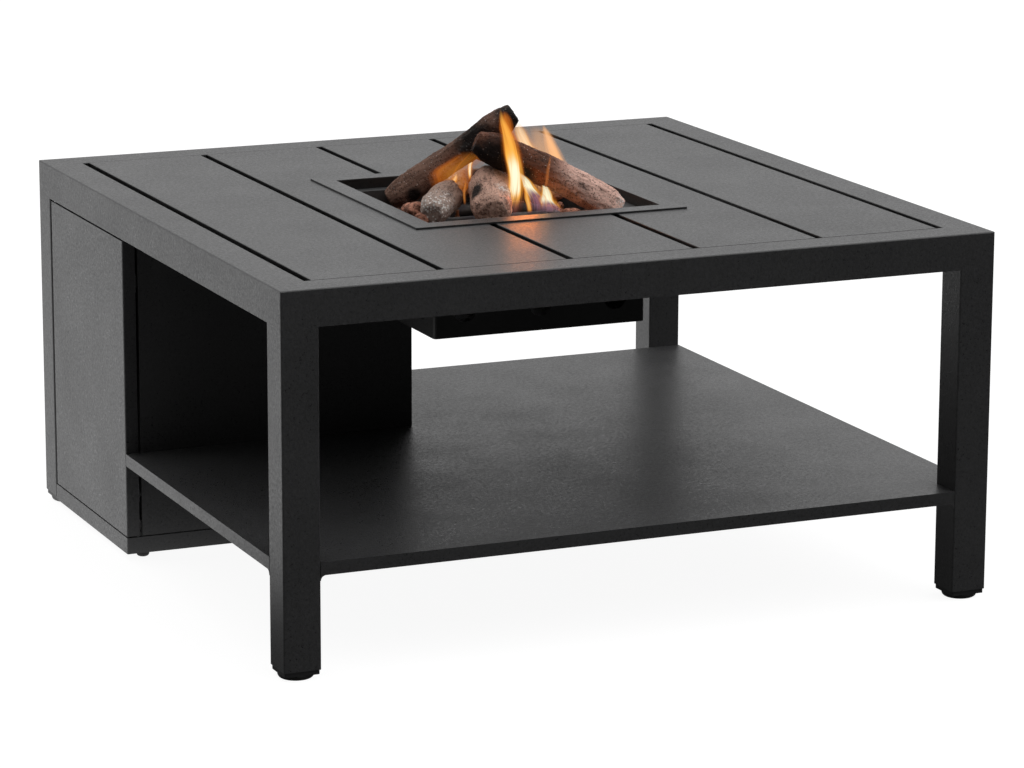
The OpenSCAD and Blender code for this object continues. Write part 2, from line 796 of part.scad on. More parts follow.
// Rigid pipe from the valve's outlet through the box's back wall to the injector
module gas_pipe() {
    x0 = valve_x + valve_w / 2 + outlet_l;
    color("#a8703c") union() {
        bar_x(valve_y, control_z, pipe_d, x0, pipe_x - pipe_bend);
        pipe_elbow(pipe_x - pipe_bend, valve_y - pipe_bend, 0);
        bar_y(pipe_x, control_z, pipe_d, pipe_bend, valve_y - pipe_bend);
        pipe_elbow(pipe_x + pipe_bend, pipe_bend, 180);
        bar_x(0, control_z, pipe_d, pipe_x + pipe_bend, -injector_w / 2);
    }
}

// Probes beside the ring: a ceramic spark electrode and a flame sensor

probe_d = 7;
probe_r = ring_r - ring_tube_d / 2 - probe_d - 2;

function probe_place(side) = [probe_r * cos(60) * side, probe_r * sin(60), 0];

// Rod through the pan's floor with a collar that stands on it
module probe(tip_d, tip_l) {
    under = 14;
    collar_t = 2;
    body_l = 12;
    rotate_extrude() polygon([
        [0, -under], [probe_d / 2, -under], [probe_d / 2, 0], [probe_d / 2 + 3, 0],
        [probe_d / 2 + 3, collar_t], [probe_d / 2, collar_t], [probe_d / 2, body_l],
        [tip_d / 2, body_l], [tip_d / 2, body_l + tip_l], [0, body_l + tip_l]]);
}

module ignition_electrode() {
    color(white_ceramic) translate([0, 0, pan_floor]) translate(probe_place(1)) probe(2, 8);
}

module thermocouple() {
    color(brass) translate([0, 0, pan_floor]) translate(probe_place(-1)) probe(5, 8);
}

// Controls on the back of the cabinet

module control_plate() {
    color(dark_coat) difference() {
        translate([cab_mid, plate_y, control_z]) rotate([90, 0, 0])
            linear_extrude(plate_t) polygon(rounded_rect(plate_w, plate_h, 6));
        bar_y(valve_x, control_z, stem_d + 4, cab_y1 - cut, plate_y + cut);
        bar_y(igniter_x, control_z, button_d + 6, cab_y1 - cut, plate_y + cut);
    }
}

// Valve body with a bore for the stem and an outlet boss for the pipe
module gas_valve() {
    y0 = cab_y1 - valve_l;
    color(brass) difference() {
        union() {
            translate([valve_x, cab_y1, control_z]) rotate([90, 0, 0])
                linear_extrude(valve_l) polygon(rounded_rect(valve_w, valve_w, 5));
            bar_x(valve_y, control_z, pipe_d + 6, valve_x, valve_x + valve_w / 2 + outlet_l);
        }
        bar_y(valve_x, control_z, stem_d + 2 * pin_play, cab_y1 - stem_depth, cab_y1 + cut);
    }
}

// Section of the stem, with a flat on its upper side
module stem_section(play) {
    d = stem_d + 2 * play;
    difference() {
        circle(d = d);
        translate([-d, stem_d / 2 - stem_flat + play]) square(2 * d);
    }
}

module valve_stem() {
    round_l = stem_depth + plate_t;
    color(steel) translate([valve_x, plate_y, control_z]) rotate([90, 0, 0]) {
        cylinder(d = stem_d, h = round_l - pin_play);
        translate([0, 0, -stem_reach]) linear_extrude(stem_reach) stem_section(0);
    }
}

// Knob with a skirt, a raised grip bar and a bore with a flat
module control_knob() {
    skirt_r = knob_d / 2;
    skirt_t = 5;
    top_r = skirt_r - 5;
    bar_w = 12;
    bar_h = 8;
    end_gap = 0.5;
    bore_l = stem_reach - knob_gap + end_gap;
    color(black_plastic) translate([valve_x, knob_y, control_z]) rotate([-90, 0, 0]) difference() {
        union() {
            rotate_extrude() polygon(concat(
                [[0, 0], [skirt_r, 0]],
                arc(skirt_r - 2, skirt_t - 2, 2, 0, 90),
                [[top_r, skirt_t]],
                arc(top_r - 2, knob_l - bar_h - 2, 2, 0, 90),
                [[0, knob_l - bar_h]]));
            intersection() {
                cylinder(r = top_r, h = knob_l);
                translate([0, 0, knob_l / 2]) cube([bar_w, 2 * top_r, knob_l], center = true);
            }
        }
        rotate([0, 0, 180]) translate([0, 0, -cut]) linear_extrude(bore_l + cut) stem_section(pin_play);
        translate([-0.8, -top_r - cut, knob_l - 1]) cube([1.6, top_r, 1 + cut]);
    }
}

// Hose nozzle under the valve
module gas_inlet() {
    z1 = control_z - valve_w / 2;
    tip = 1;
    color(brass) translate([valve_x, valve_y, 0]) {
        translate([0, 0, z1 - inlet_collar]) cylinder(d = inlet_d + 8, h = inlet_collar, $fn = 6);
        translate([0, 0, z1 - inlet_collar - inlet_l]) cylinder(d = inlet_d, h = inlet_l);
        translate([0, 0, z1 - inlet_collar - inlet_l - tip])
            cylinder(d1 = inlet_d - 2 * tip, d2 = inlet_d, h = tip);
    }
}

// Piezo igniter: a body behind the plate with a collar through it
module igniter_body() {
    collar_outer = button_d + 5;
    color(black_plastic) difference() {
        union() {
            bar_y(igniter_x, control_z, igniter_d, cab_y1 - igniter_l, cab_y1);
            bar_y(igniter_x, control_z, collar_outer, cab_y1, plate_y + collar_l);
        }
        bar_y(igniter_x, control_z, button_d + 2 * pin_play, cab_y1 - igniter_l / 2,
              plate_y + collar_l + cut);
    }
}

module igniter_nut() {
    collar_outer = button_d + 5;
    color(black_plastic) difference() {
        translate([igniter_x, plate_y, control_z]) rotate([-90, 0, 0])
            cylinder(d = collar_outer + 10, h = nut_t, $fn = 6);
        bar_y(igniter_x, control_z, collar_outer + 2 * pin_play, plate_y - cut, plate_y + nut_t + cut);
    }
}

module igniter_button() {
    r = button_d / 2;
    inside = 14;
    proud = button_push + 3;
    round_r = 2;
    color("#8f2a22") translate([igniter_x, plate_y + collar_l - inside, control_z]) rotate([-90, 0, 0])
        rotate_extrude() polygon(concat(
            [[0, 0], [r, 0]],
            arc(r - round_r, inside + proud - round_r, round_r, 0, 90),
            [[0, inside + proud]]));
}

// Ceramic logs and lava stones

log_sides = 14;
log_rings = 13;
log_gap = 0.3;

// Radius of a log along its length (t) and round it (a), with knots and blunt rounded ends
function log_radius(d, t, a, seed) =
    let (end = min(t, 1 - t) * log_rings,
         blunt = end < 0.5 ? 0.66 : end < 1.5 ? 0.92 : 1)
    d / 2 * blunt * (1 + 0.05 * sin(3 * a + 310 * t + 77 * seed)
                     + 0.04 * sin(5 * a - 520 * t + 131 * seed)
                     + 0.04 * sin(430 * t + 59 * seed));

function lowest(points) =
    let (z = min([for (p = points) p[2]])) [for (p = points) if (p[2] == z) p][0];

// Points of a log from its low end along a vector, bowed upwards in the middle, with its
// lowest point resting at a height above the top of the burner
function log_points(low, along, d, bow, rise, seed) =
    let (axis = along / norm(along),
         side = cross(axis, [0, 0, 1]) / norm(cross(axis, [0, 0, 1])),
         up = cross(side, axis),
         loose = [for (k = [0:log_rings], s = [0:log_sides - 1])
             let (t = k / log_rings, a = 360 * s / log_sides, r = log_radius(d, t, a, seed),
                  on_axis = [low[0], low[1], 0] + along * t + up * bow * sin(180 * t))
                 on_axis + up * r * sin(a) + side * r * cos(a)],
         drop = bed_top + rise + log_gap - lowest(loose)[2])
    [for (p = loose) p + [0, 0, drop]];

back_points = log_points([-138, 48], [160, -58, 121], back_log_d, -3, 7, 1);
right_points = log_points([138, -109], [-188, 63, 98], right_log_d, 5, -2, 2);
centre_points = log_points([-54, -120], [32, 96, 28], centre_log_d, 0, 0, 3);
front_points = log_points([-124, -72], [60, 76, 12], front_log_d, 2, 1, 4);
rear_points = log_points([-66, 106], [168, -30, 9], rear_log_d, 3, 0, 5);

module ceramic_log(points) {
    faces = concat(
        [[for (s = [0:log_sides - 1]) s]],
        [[for (s = [0:log_sides - 1]) log_rings * log_sides + log_sides - 1 - s]],
        [for (k = [0:log_rings - 1], s = [0:log_sides - 1])
            let (n = (s + 1) % log_sides, a = k * log_sides, b = a + log_sides) [a + n, a + s, b + s]],
        [for (k = [0:log_rings - 1], s = [0:log_sides - 1])
            let (n = (s + 1) % log_sides, a = k * log_sides, b = a + log_sides) [a + n, b + s, b + n]]);
    color(log_brown) polyhedron(points, faces);
}

module back_log() {
    ceramic_log(back_points);
}

module right_log() {
    ceramic_log(right_points);
}

module centre_log() {
    ceramic_log(centre_points);
}

module front_log() {
    ceramic_log(front_points);
}

module rear_log() {
    ceramic_log(rear_points);
}

// Lump of lava, w wide and h high, with a flat underside at Z = 0 and a flat top
module stone(w, h, seed) {
    sides = 8;
    rings = 4;
    tilt = 50;
    points = [for (k = [0:rings - 1], s = [0:sides - 1])
        let (lat = tilt * (2 * k / (rings - 1) - 1), a = 360 * s / sides,
             lump = 1 - 0.16 * abs(sin(91 * seed + 137 * s + 60 * k)),
             r = w / 2 * cos(lat) * lump)
            [r * cos(a), r * sin(a), h / 2 * (1 + sin(lat) / sin(tilt))]];
    faces = concat(
        [[for (s = [0:sides - 1]) s]],
        [[for (s = [0:sides - 1]) rings * sides - 1 - s]],
        [for (k = [0:rings - 2], s = [0:sides - 1])
            let (a = k * sides, n = (s + 1) % sides) [a + n, a + s, a + sides + s]],
        [for (k = [0:rings - 2], s = [0:sides - 1])
            let (a = k * sides, n = (s + 1) % sides) [a + n, a + sides + s, a + sides + n]]);
    polyhedron(points, faces);
}

// Stones under the logs' low ends, in a ring between the burner and the pan's walls,
// in the pan's corners and inside the burner's ring
module lava_stones() {
    h = bed_top - pan_floor;
    logs = [back_points, right_points, centre_points, front_points, rear_points];
    seats = [for (points = logs) lowest(points)];
    outer_count = 14;
    outer_r = ring_r + ring_tube_d / 2 + stone_w / 2 + 4;
    corner = pan_w / 2 - box_wall - stone_w / 2 - 2;
    inner_r = 42;
    ring_places = [for (i = [0:outer_count - 1])
        let (a = i * 360 / outer_count) [outer_r * cos(a), outer_r * sin(a)]];
    corner_places = [for (sx = [-1, 1], sy = [-1, 1]) [sx * corner, sy * corner]];
    free_places = [for (p = concat(ring_places, corner_places))
        if (min([for (s = seats) norm([s[0], s[1]] - p)]) > stone_w + 1) p];
    color(stone_red) translate([0, 0, pan_floor]) {
        for (i = [0:len(seats) - 1]) translate([seats[i][0], seats[i][1], 0])
            stone(stone_w, seats[i][2] - log_gap - pan_floor, i);
        for (i = [0:len(free_places) - 1]) translate([free_places[i][0], free_places[i][1], 0])
            stone(stone_w, h - 2 - 3 * abs(sin(70 * i)), 7 + i);
        for (a = [90, 215, 270, 325]) rotate([0, 0, a]) translate([inner_r, 0, 0])
            stone(stone_w * 0.8, h - 2, 30 + a);
    }
}

front_rail();
back_rail();
left_rail();
right_rail();
leg(-1, -1);  // front_left_leg
leg(1, -1);  // front_right_leg
leg(-1, 1);  // back_left_leg
leg(1, 1);  // back_right_leg
leg_caps();
levelling_foot(-1, -1);  // front_left_foot
levelling_foot(1, -1);  // front_right_foot
levelling_foot(-1, 1);  // back_left_foot
levelling_foot(1, 1);  // back_right_foot
outer_slat(-1);  // left_outer_slat
inner_slat(-1);  // left_inner_slat
centre_slat(-1);  // centre_front_slat
centre_slat(1);  // centre_back_slat
inner_slat(1);  // right_inner_slat
outer_slat(1);  // right_outer_slat
slat_bearers();
lower_shelf();
shelf_stiffeners();
cabinet_base();
cabinet_feet();
cabinet_front_panel();
cabinet_right_panel();
cabinet_back_panel();
cabinet_door();
door_bushes();
door_strikes();
door_magnets();
upper_hinge_stud();
lower_hinge_stud();
burner_trim();
burner_box();
burner_pan();
burner_ring();
injector();
gas_pipe();
ignition_electrode();
thermocouple();
control_plate();
gas_valve();
valve_stem();
control_knob();
gas_inlet();
igniter_body();
igniter_nut();
igniter_button();
back_log();
right_log();
centre_log();
front_log();
rear_log();
lava_stones();
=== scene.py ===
"""Looks of a square fire pit table: powder-coated frame, gas burner with ceramic logs, and fire.

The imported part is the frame: every piece sits where its nodes are, in metres.
"""

import math
import random

import bpy
import numpy as np
from bpy.props import FloatProperty, FloatVectorProperty, IntProperty, PointerProperty
from mathutils import Matrix, Vector


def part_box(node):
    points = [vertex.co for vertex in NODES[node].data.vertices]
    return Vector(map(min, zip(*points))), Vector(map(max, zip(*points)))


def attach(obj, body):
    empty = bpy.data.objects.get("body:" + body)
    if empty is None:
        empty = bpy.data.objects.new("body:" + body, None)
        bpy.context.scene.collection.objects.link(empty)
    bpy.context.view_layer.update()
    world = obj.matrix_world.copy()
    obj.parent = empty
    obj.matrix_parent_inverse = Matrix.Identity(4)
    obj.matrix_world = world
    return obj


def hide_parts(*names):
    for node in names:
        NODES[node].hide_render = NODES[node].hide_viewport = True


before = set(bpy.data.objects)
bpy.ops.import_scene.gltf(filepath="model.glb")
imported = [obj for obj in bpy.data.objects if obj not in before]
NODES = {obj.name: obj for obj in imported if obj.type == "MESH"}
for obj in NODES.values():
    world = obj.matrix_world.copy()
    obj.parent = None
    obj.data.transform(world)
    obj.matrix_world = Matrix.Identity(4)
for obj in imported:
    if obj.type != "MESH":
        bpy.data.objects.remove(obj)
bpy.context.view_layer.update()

bl_info = {
    "name": "Fire Pit Table",
    "version": (1, 0, 0),
    "blender": (4, 5, 0),
    "location": "View3D > Sidebar > Fire Pit",
    "description": "Finishes, logs, lava stones, flames and small fittings of a fire pit table",
    "category": "Object",
}

MM = 0.001
MERGE_GAP = 0.01 * MM

TOP_NODES = (
    "front_rail", "back_rail", "left_rail", "right_rail",
    "left_outer_slat", "left_inner_slat", "centre_front_slat", "centre_back_slat",
    "right_inner_slat", "right_outer_slat",
)
COATED_NODES = (
    "front_left_leg", "front_right_leg", "back_left_leg", "back_right_leg", "slat_bearers",
    "lower_shelf", "shelf_stiffeners", "cabinet_base", "cabinet_front_panel",
    "cabinet_right_panel", "cabinet_back_panel", "cabinet_door",
)
FOOT_NODES = {
    "front_left_foot": "foot_front_left",
    "front_right_foot": "foot_front_right",
    "back_left_foot": "foot_back_left",
    "back_right_foot": "foot_back_right",
}
LOG_NODES = ("back_log", "right_log", "centre_log", "front_log", "rear_log")
# Directions that the sky and the floor send most of their light from
SKY_SIDE = Vector((0.06, 0.89, 0.45)).normalized()
FLOOR_SIDE = (-0.45, 0.9, 0)


# Settings

def colour(name, description, default):
    return FloatVectorProperty(name=name, description=description, default=default,
                               subtype="COLOR", min=0.0, max=1.0)


def number(name, description, default, **kind):
    return FloatProperty(name=name, description=description, default=default, **kind)


def length(name, description, default):
    return number(name, description, default, unit="LENGTH", precision=5)


def angle(name, description, degrees):
    return number(name, description, math.radians(degrees), subtype="ANGLE")


class StageSettings(bpy.types.PropertyGroup):
    """Camera, floor and studio light"""

    camera_place: FloatVectorProperty(
        name="Camera place", description="Where the camera stands", subtype="XYZ", unit="LENGTH",
        default=(-2.1950, -5.1166, 1.5306))
    camera_turn: angle("Camera turn", "How far the camera looks to the right of the Y axis", 23.46)
    camera_dip: angle("Camera dip", "How far the camera looks down", 13.13)
    camera_roll: angle("Camera roll", "How far the camera leans", 0.168)
    lens: number("Lens", "Focal length", 144.59, unit="CAMERA")
    sky: number("Sky", "Light from high up behind", 1.15)
    low_sky: number("Low sky", "Light from low down behind", 0.68)
    shade: number("Shade", "Light from high up at the front right", 2.4)
    low_shade: number("Low shade", "Light from low down at the front", 0.03)
    floor: colour("Floor", "Colour of the pale floor", (0.93, 0.93, 0.93))
    near_bounce: number("Near bounce", "Light that the floor at the front sends back", 0.07)
    far_bounce: number("Far bounce", "Light that the floor at the back left sends back", 1.02)
    fire_light: number("Fire light", "Power of the fire's light on the logs", 0.03, unit="POWER")
    glow: number("Glow", "Power of the fire's light on the trim and the slats in front of it", 0.028,
                 unit="POWER")
    fire_colour: colour("Fire colour", "Colour of the fire's light on the logs", (1.0, 0.42, 0.12))
    glow_colour: colour("Glow colour", "Colour of the fire's light in front of it", (1.0, 0.20, 0.01))


class CoatSettings(bpy.types.PropertyGroup):
    """Powder coat of the frame and paint of the burner"""

    coat: colour("Coat", "Colour of the frame's powder coat", (0.040, 0.040, 0.041))
    # Painted shade: near-black colour on the walls between the slats and round the trim, where shadow
    # falls
    gap: colour("Gap", "Dark shade between the slats", (0.004, 0.004, 0.004))
    burner_paint: colour("Burner paint", "Heat-proof paint of the burner box", (0.026, 0.026, 0.026))
    grain: length("Grain", "Size of the coat's grain", 1.6 * MM)
    grain_depth: length("Grain depth", "Depth of the coat's grain", 0.08 * MM)
    contrast: number("Contrast", "How far the grain varies in tone", 2.2)
    roughness: number("Roughness", "Dullness of the coat", 0.41, subtype="FACTOR")
    top_roughness: number("Top roughness", "Dullness of the worn coat on the top", 0.43,
                          subtype="FACTOR")


class LogSettings(bpy.types.PropertyGroup):
    """Ceramic logs and lava stones"""

    voxel: length("Detail", "Spacing of the points on a log", 1.1 * MM)
    lumps: length("Lumps", "Depth of a log's hollows", 3.5 * MM)
    bark: length("Bark", "Depth of the ridges along a log", 2.0 * MM)
    pits: length("Pits", "Depth of a log's pits", 1.5 * MM)
    # The paler browns are partly the logs' own colour and partly painted light on the logs that take
    # more light
    pale_brown: colour("Pale brown", "Clean baked ceramic", (0.80, 0.51, 0.42))
    rose_brown: colour("Rose brown", "Baked ceramic of the thick log", (0.58, 0.36, 0.28))
    light_brown: colour("Light brown", "Baked ceramic of the small log", (0.36, 0.25, 0.20))
    smoked_brown: colour("Smoked brown", "Baked ceramic over the flames", (0.20, 0.115, 0.085))
    red_brown: colour("Red brown", "Baked ceramic beside the flames", (0.17, 0.072, 0.045))
    dark_brown: colour("Dark brown", "Ceramic in its hollows", (0.075, 0.042, 0.032))
    soot: colour("Soot", "Where the flames lick", (0.008, 0.007, 0.007))
    ash: colour("Ash", "Pale grit on the logs", (0.78, 0.74, 0.71))
    lava: colour("Lava", "Red lava stone", (0.60, 0.27, 0.18))
    pebbles: IntProperty(name="Pebbles", description="Small stones between the large ones",
                         default=150, min=0)


class FlameSettings(bpy.types.PropertyGroup):
    """Flames over the burner"""

    core: colour("Core", "Hottest part of a flame", (1.0, 0.95, 0.66))
    body: colour("Body", "Middle of a flame", (1.0, 0.45, 0.07))
    rim: colour("Rim", "Edge of a flame", (0.55, 0.13, 0.012))
    pale: colour("Pale", "Thin flame in front of a light ground", (1.0, 0.52, 0.25))
    base: colour("Base", "Violet root of a flame", (0.33, 0.15, 0.21))
    strength: number("Strength", "Brightness of the flames", 1.1)


class FirePitSettings(bpy.types.PropertyGroup):
    """All settings of the fire pit table"""

    stage: PointerProperty(type=StageSettings)
    coat: PointerProperty(type=CoatSettings)
    logs: PointerProperty(type=LogSettings)
    flames: PointerProperty(type=FlameSettings)


# Modelling

def deselect_all():
    active = bpy.context.view_layer.objects.active
    if active and active.mode != "OBJECT":
        bpy.ops.object.mode_set(mode="OBJECT")
    bpy.ops.object.select_all(action="DESELECT")


def select_only(*objects):
    """Selects these objects alone, the first of them active"""
    deselect_all()
    for obj in objects:
        obj.select_set(True)
    bpy.context.view_layer.objects.active = objects[0]


def add_cylinder(radius, depth, vertices, place=(0, 0, 0), turn=(0, 0, 0)):
    deselect_all()
    bpy.ops.mesh.primitive_cylinder_add(vertices=vertices, radius=radius, depth=depth,
                                        location=place, rotation=turn)
    return bpy.context.object


def add_box(size, place):
    deselect_all()
    bpy.ops.mesh.primitive_cube_add(size=1, location=place, scale=size)
    return bpy.context.object


def edit_faces(obj, test):
    """Enters edit mode with those faces selected whose normal passes a test"""
    select_only(obj)
    bpy.ops.object.mode_set(mode="EDIT")
    bpy.ops.mesh.select_mode(type="FACE")
    bpy.ops.mesh.select_all(action="DESELECT")
    bpy.ops.object.mode_set(mode="OBJECT")
    for face in obj.data.polygons:
        face.select = test(face.normal)
    bpy.ops.object.mode_set(mode="EDIT")


def leave_edit():
    bpy.ops.object.mode_set(mode="OBJECT")


def bevel_faces(obj, test, offset, segments):
    """Rounds the edges of those faces whose normal passes a test"""
    edit_faces(obj, test)
    bpy.ops.mesh.bevel(offset=offset, segments=segments)
    leave_edit()


def inset_faces(obj, test, thickness):
    edit_faces(obj, test)
    bpy.ops.mesh.inset(thickness=thickness)
    leave_edit()


def apply_place(*objects):
    """Puts the objects' place, turn and size into their meshes"""
    select_only(*objects)
    bpy.ops.object.transform_apply(location=True, rotation=True, scale=True)


def apply_modifier(obj, kind, **settings):
    select_only(obj)
    modifier = obj.modifiers.new(kind.lower(), kind)
    for key, value in settings.items():
        setattr(modifier, key, value)
    bpy.ops.object.modifier_apply(modifier=modifier.name)


def join(objects):
    """One object from several, named for the first"""
    select_only(*objects)
    if len(objects) > 1:
        bpy.ops.object.join()
    return objects[0]


def copy_of(obj, matrix):
    """A copy with its own mesh, moved by a matrix"""
    copy = bpy.data.objects.new(obj.name, obj.data.copy())
    bpy.context.scene.collection.objects.link(copy)
    copy.data.transform(matrix)
    return copy


def delete(*objects):
    for obj in objects:
        bpy.data.objects.remove(obj, do_unlink=True)


def cut_with(obj, cutter):
    """Cuts one object out of another, and deletes the cutter"""
    apply_modifier(obj, "BOOLEAN", operation="DIFFERENCE", solver="EXACT", object=cutter)
    delete(cutter)


def close_mesh(obj, hole_sides=0):
    """Merges the doubles of a mesh, fills its holes of so many sides and turns its faces outwards"""
    select_only(obj)
    bpy.ops.object.mode_set(mode="EDIT")
    bpy.ops.mesh.select_all(action="SELECT")
    bpy.ops.mesh.remove_doubles(threshold=MERGE_GAP)
    if hole_sides:
        bpy.ops.mesh.fill_holes(sides=hole_sides)
    bpy.ops.mesh.normals_make_consistent(inside=False)
    leave_edit()


def merged_copy(node, name):
    """A copy of a node's mesh with its triangles joined up"""
    obj = bpy.data.objects.new(name, NODES[node].data.copy())
    bpy.context.scene.collection.objects.link(obj)
    obj.data.materials.clear()
    close_mesh(obj)
    return obj


def cloud_texture(name, size, octaves=2):
    """Noise that a Displace modifier carves with"""
    texture = bpy.data.textures.new(name, "CLOUDS")
    texture.noise_scale = size
    texture.noise_depth = octaves
    return texture


def displace(obj, texture, depth, level, guide=None):
    """Carves a surface by a texture, on its own coordinates or on those of a guide"""
    coords = {"texture_coords": "LOCAL"}
    if guide:
        coords = {"texture_coords": "OBJECT", "texture_coords_object": guide}
    apply_modifier(obj, "DISPLACE", texture=texture, strength=depth, mid_level=level, **coords)


def finish_piece(obj, name, body, material):
    """Names a piece, gives it its finish and lets it ride on a body"""
    obj.name = name
    obj.data.name = name
    obj.data.materials.clear()
    obj.data.materials.append(material)
    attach(obj, body)


def smooth(obj, degrees):
    select_only(obj)
    bpy.ops.object.shade_smooth_by_angle(angle=math.radians(degrees))


def dress(node, material):
    """Gives a node of the part its material"""
    slots = NODES[node].data.materials
    slots.clear()
    slots.append(material)


def middle(node):
    low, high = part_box(node)
    return (low + high) / 2


# Shader nodes

def rgba(value):
    return (*value, 1.0)


def feed(tree, socket, value):
    if isinstance(value, bpy.types.NodeSocket):
        tree.links.new(value, socket)
    else:
        socket.default_value = value


def add_node(tree, kind, inputs=None, **settings):
    """A shader node with its settings, and its inputs linked or set"""
    node = tree.nodes.new("ShaderNode" + kind)
    for key, value in settings.items():
        setattr(node, key, value)
    for key, value in (inputs or {}).items():
        feed(tree, node.inputs[key], value)
    return node


def maths(tree, operation, *values, clamp=False):
    inputs = dict(enumerate(values))
    return add_node(tree, "Math", inputs, operation=operation, use_clamp=clamp).outputs[0]


def times(tree, first, second, clamp=False):
    return maths(tree, "MULTIPLY", first, second, clamp=clamp)


def plus(tree, first, second, clamp=False):
    return maths(tree, "ADD", first, second, clamp=clamp)


def minus(tree, first, second, clamp=False):
    return maths(tree, "SUBTRACT", first, second, clamp=clamp)


def dot_product(tree, first, second):
    return add_node(tree, "VectorMath", {0: first, 1: second}, operation="DOT_PRODUCT").outputs[1]


def mix_colour(tree, factor, first, second):
    node = add_node(tree, "Mix", {0: factor, 6: first, 7: second}, data_type="RGBA")
    return node.outputs[2]


def smooth_step(tree, value, low, high, to_low=0.0, to_high=1.0):
    """A value eased from one range to another"""
    node = add_node(tree, "MapRange", {0: value, 1: low, 2: high, 3: to_low, 4: to_high},
                    interpolation_type="SMOOTHSTEP")
    return node.outputs[0]


def object_place(tree):
    return add_node(tree, "TexCoord").outputs["Object"]


def noise_value(tree, place, size, detail=3.0, roughness=0.6):
    """Noise whose features are about a size across"""
    node = add_node(tree, "TexNoise", {
        "Vector": place, "Scale": 1 / size, "Detail": detail, "Roughness": roughness})
    return node.outputs["Fac"]


def empty_tree(owner):
    """The node tree of a material or a world, with nothing in it yet"""
    owner.use_nodes = True
    owner.node_tree.nodes.clear()
    return owner.node_tree


def new_material(name, **constants):
    """A material with one Principled shader, its tree and that shader"""
    material = bpy.data.materials.new(name)
    tree = empty_tree(material)
    output = add_node(tree, "OutputMaterial")
    shader = add_node(tree, "BsdfPrincipled")
    tree.links.new(shader.outputs["BSDF"], output.inputs["Surface"])
    for key, value in constants.items():
        shader.inputs[key.replace("_", " ")].default_value = value
    return material, tree, shader


def link_surface(tree, shader, shade, roughness):
    tree.links.new(shade, shader.inputs["Base Color"])
    tree.links.new(roughness, shader.inputs["Roughness"])


def add_bump(tree, shader, height, distance):
    bump = add_node(tree, "Bump", {"Height": height, "Distance": distance, "Strength": 1.0})
    tree.links.new(bump.outputs["Normal"], shader.inputs["Normal"])


def new_group(name, inputs, outputs):
    """A shader node group with named sockets: its tree, what comes in and what goes out"""
    group = bpy.data.node_groups.new(name, "ShaderNodeTree")
    for socket, kind, default in inputs:
        item = group.interface.new_socket(socket, in_out="INPUT", socket_type="NodeSocket" + kind)
        item.default_value = default
    for socket, kind in outputs:
        group.interface.new_socket(socket, in_out="OUTPUT", socket_type="NodeSocket" + kind)
    source = group.nodes.new("NodeGroupInput")
    sink = group.nodes.new("NodeGroupOutput")
    return group, source.outputs, sink.inputs


def use_group(tree, group, inputs):
    node = add_node(tree, "Group", node_tree=group)
    for key, value in inputs.items():
        feed(tree, node.inputs[key], value)
    return node.outputs


def coat_grain_group():
    """Orange-peel grain of sprayed paint and powder coat, with faint cloudy unevenness"""
    name = "coat_grain"
    if name in bpy.data.node_groups:
        return bpy.data.node_groups[name]
    group, given, out = new_group(
        name,
        (("Colour", "Color", (0.04, 0.04, 0.04, 1)), ("Scale", "Float", 600.0),
         ("Roughness", "Float", 0.5), ("Contrast", "Float", 0.25)),
        (("Colour", "Color"), ("Roughness", "Float"), ("Height", "Float")))
    place = object_place(group)
    fine = add_node(group, "TexNoise", {"Vector": place, "Scale": given["Scale"], "Detail": 2.0,
                                        "Roughness": 0.65}).outputs["Fac"]
    coarse = noise_value(group, place, 4.5 * MM, 2.0)
    cloud = noise_value(group, place, 110 * MM, 4.0)
    mixed = plus(group, times(group, fine, 0.5), times(group, cloud, 0.15))
    mixed = plus(group, mixed, times(group, coarse, 0.35))
    swing = minus(group, mixed, 0.5)
    gain = plus(group, 1.0, times(group, swing, given["Contrast"]))
    shade = add_node(group, "VectorMath", {0: given["Colour"], "Scale": gain}, operation="SCALE")
    group.links.new(shade.outputs[0], out["Colour"])
    rough = plus(group, given["Roughness"], times(group, swing, 1.2), clamp=True)
    group.links.new(rough, out["Roughness"])
    group.links.new(plus(group, fine, times(group, coarse, 2.5)), out["Height"])
    return group


def soft_spot_group():
    """Round patch with a ragged edge: one at its middle, nothing outside its radius"""
    name = "soft_spot"
    if name in bpy.data.node_groups:
        return bpy.data.node_groups[name]
    group, given, out = new_group(
        name,
        (("Centre", "Vector", (0, 0, 0)), ("Radius", "Float", 0.02), ("Ragged", "Float", 0.5)),
        (("Mask", "Float"),))
    place = object_place(group)
    away = add_node(group, "VectorMath", {0: place, 1: given["Centre"]}, operation="DISTANCE")
    share = maths(group, "DIVIDE", away.outputs[1], given["Radius"])
    edge = minus(group, noise_value(group, place, 12 * MM, 5.0, 0.7), 0.5)
    ragged = plus(group, share, times(group, edge, given["Ragged"]))
    group.links.new(smooth_step(group, ragged, 1.0, 0.45), out["Mask"])
    return group


def grit_group():
    """Scattered grains: a mask of the share of grains that differ from the rest"""
    name = "grit"
    if name in bpy.data.node_groups:
        return bpy.data.node_groups[name]
    group, given, out = new_group(
        name, (("Scale", "Float", 500.0), ("Share", "Float", 0.2)), (("Mask", "Float"),))
    cells = add_node(group, "TexVoronoi", {"Vector": object_place(group), "Scale": given["Scale"]},
                     feature="F1")
    tint = add_node(group, "SeparateColor", {0: cells.outputs["Color"]}).outputs[0]
    low = minus(group, given["Share"], 0.06)
    chosen = add_node(group, "MapRange", {0: tint, 1: given["Share"], 2: low, 3: 0.0, 4: 1.0})
    grain = smooth_step(group, cells.outputs["Distance"], 0.6, 0.25)
    group.links.new(times(group, chosen.outputs[0], grain), out["Mask"])
    return group


# Finishes

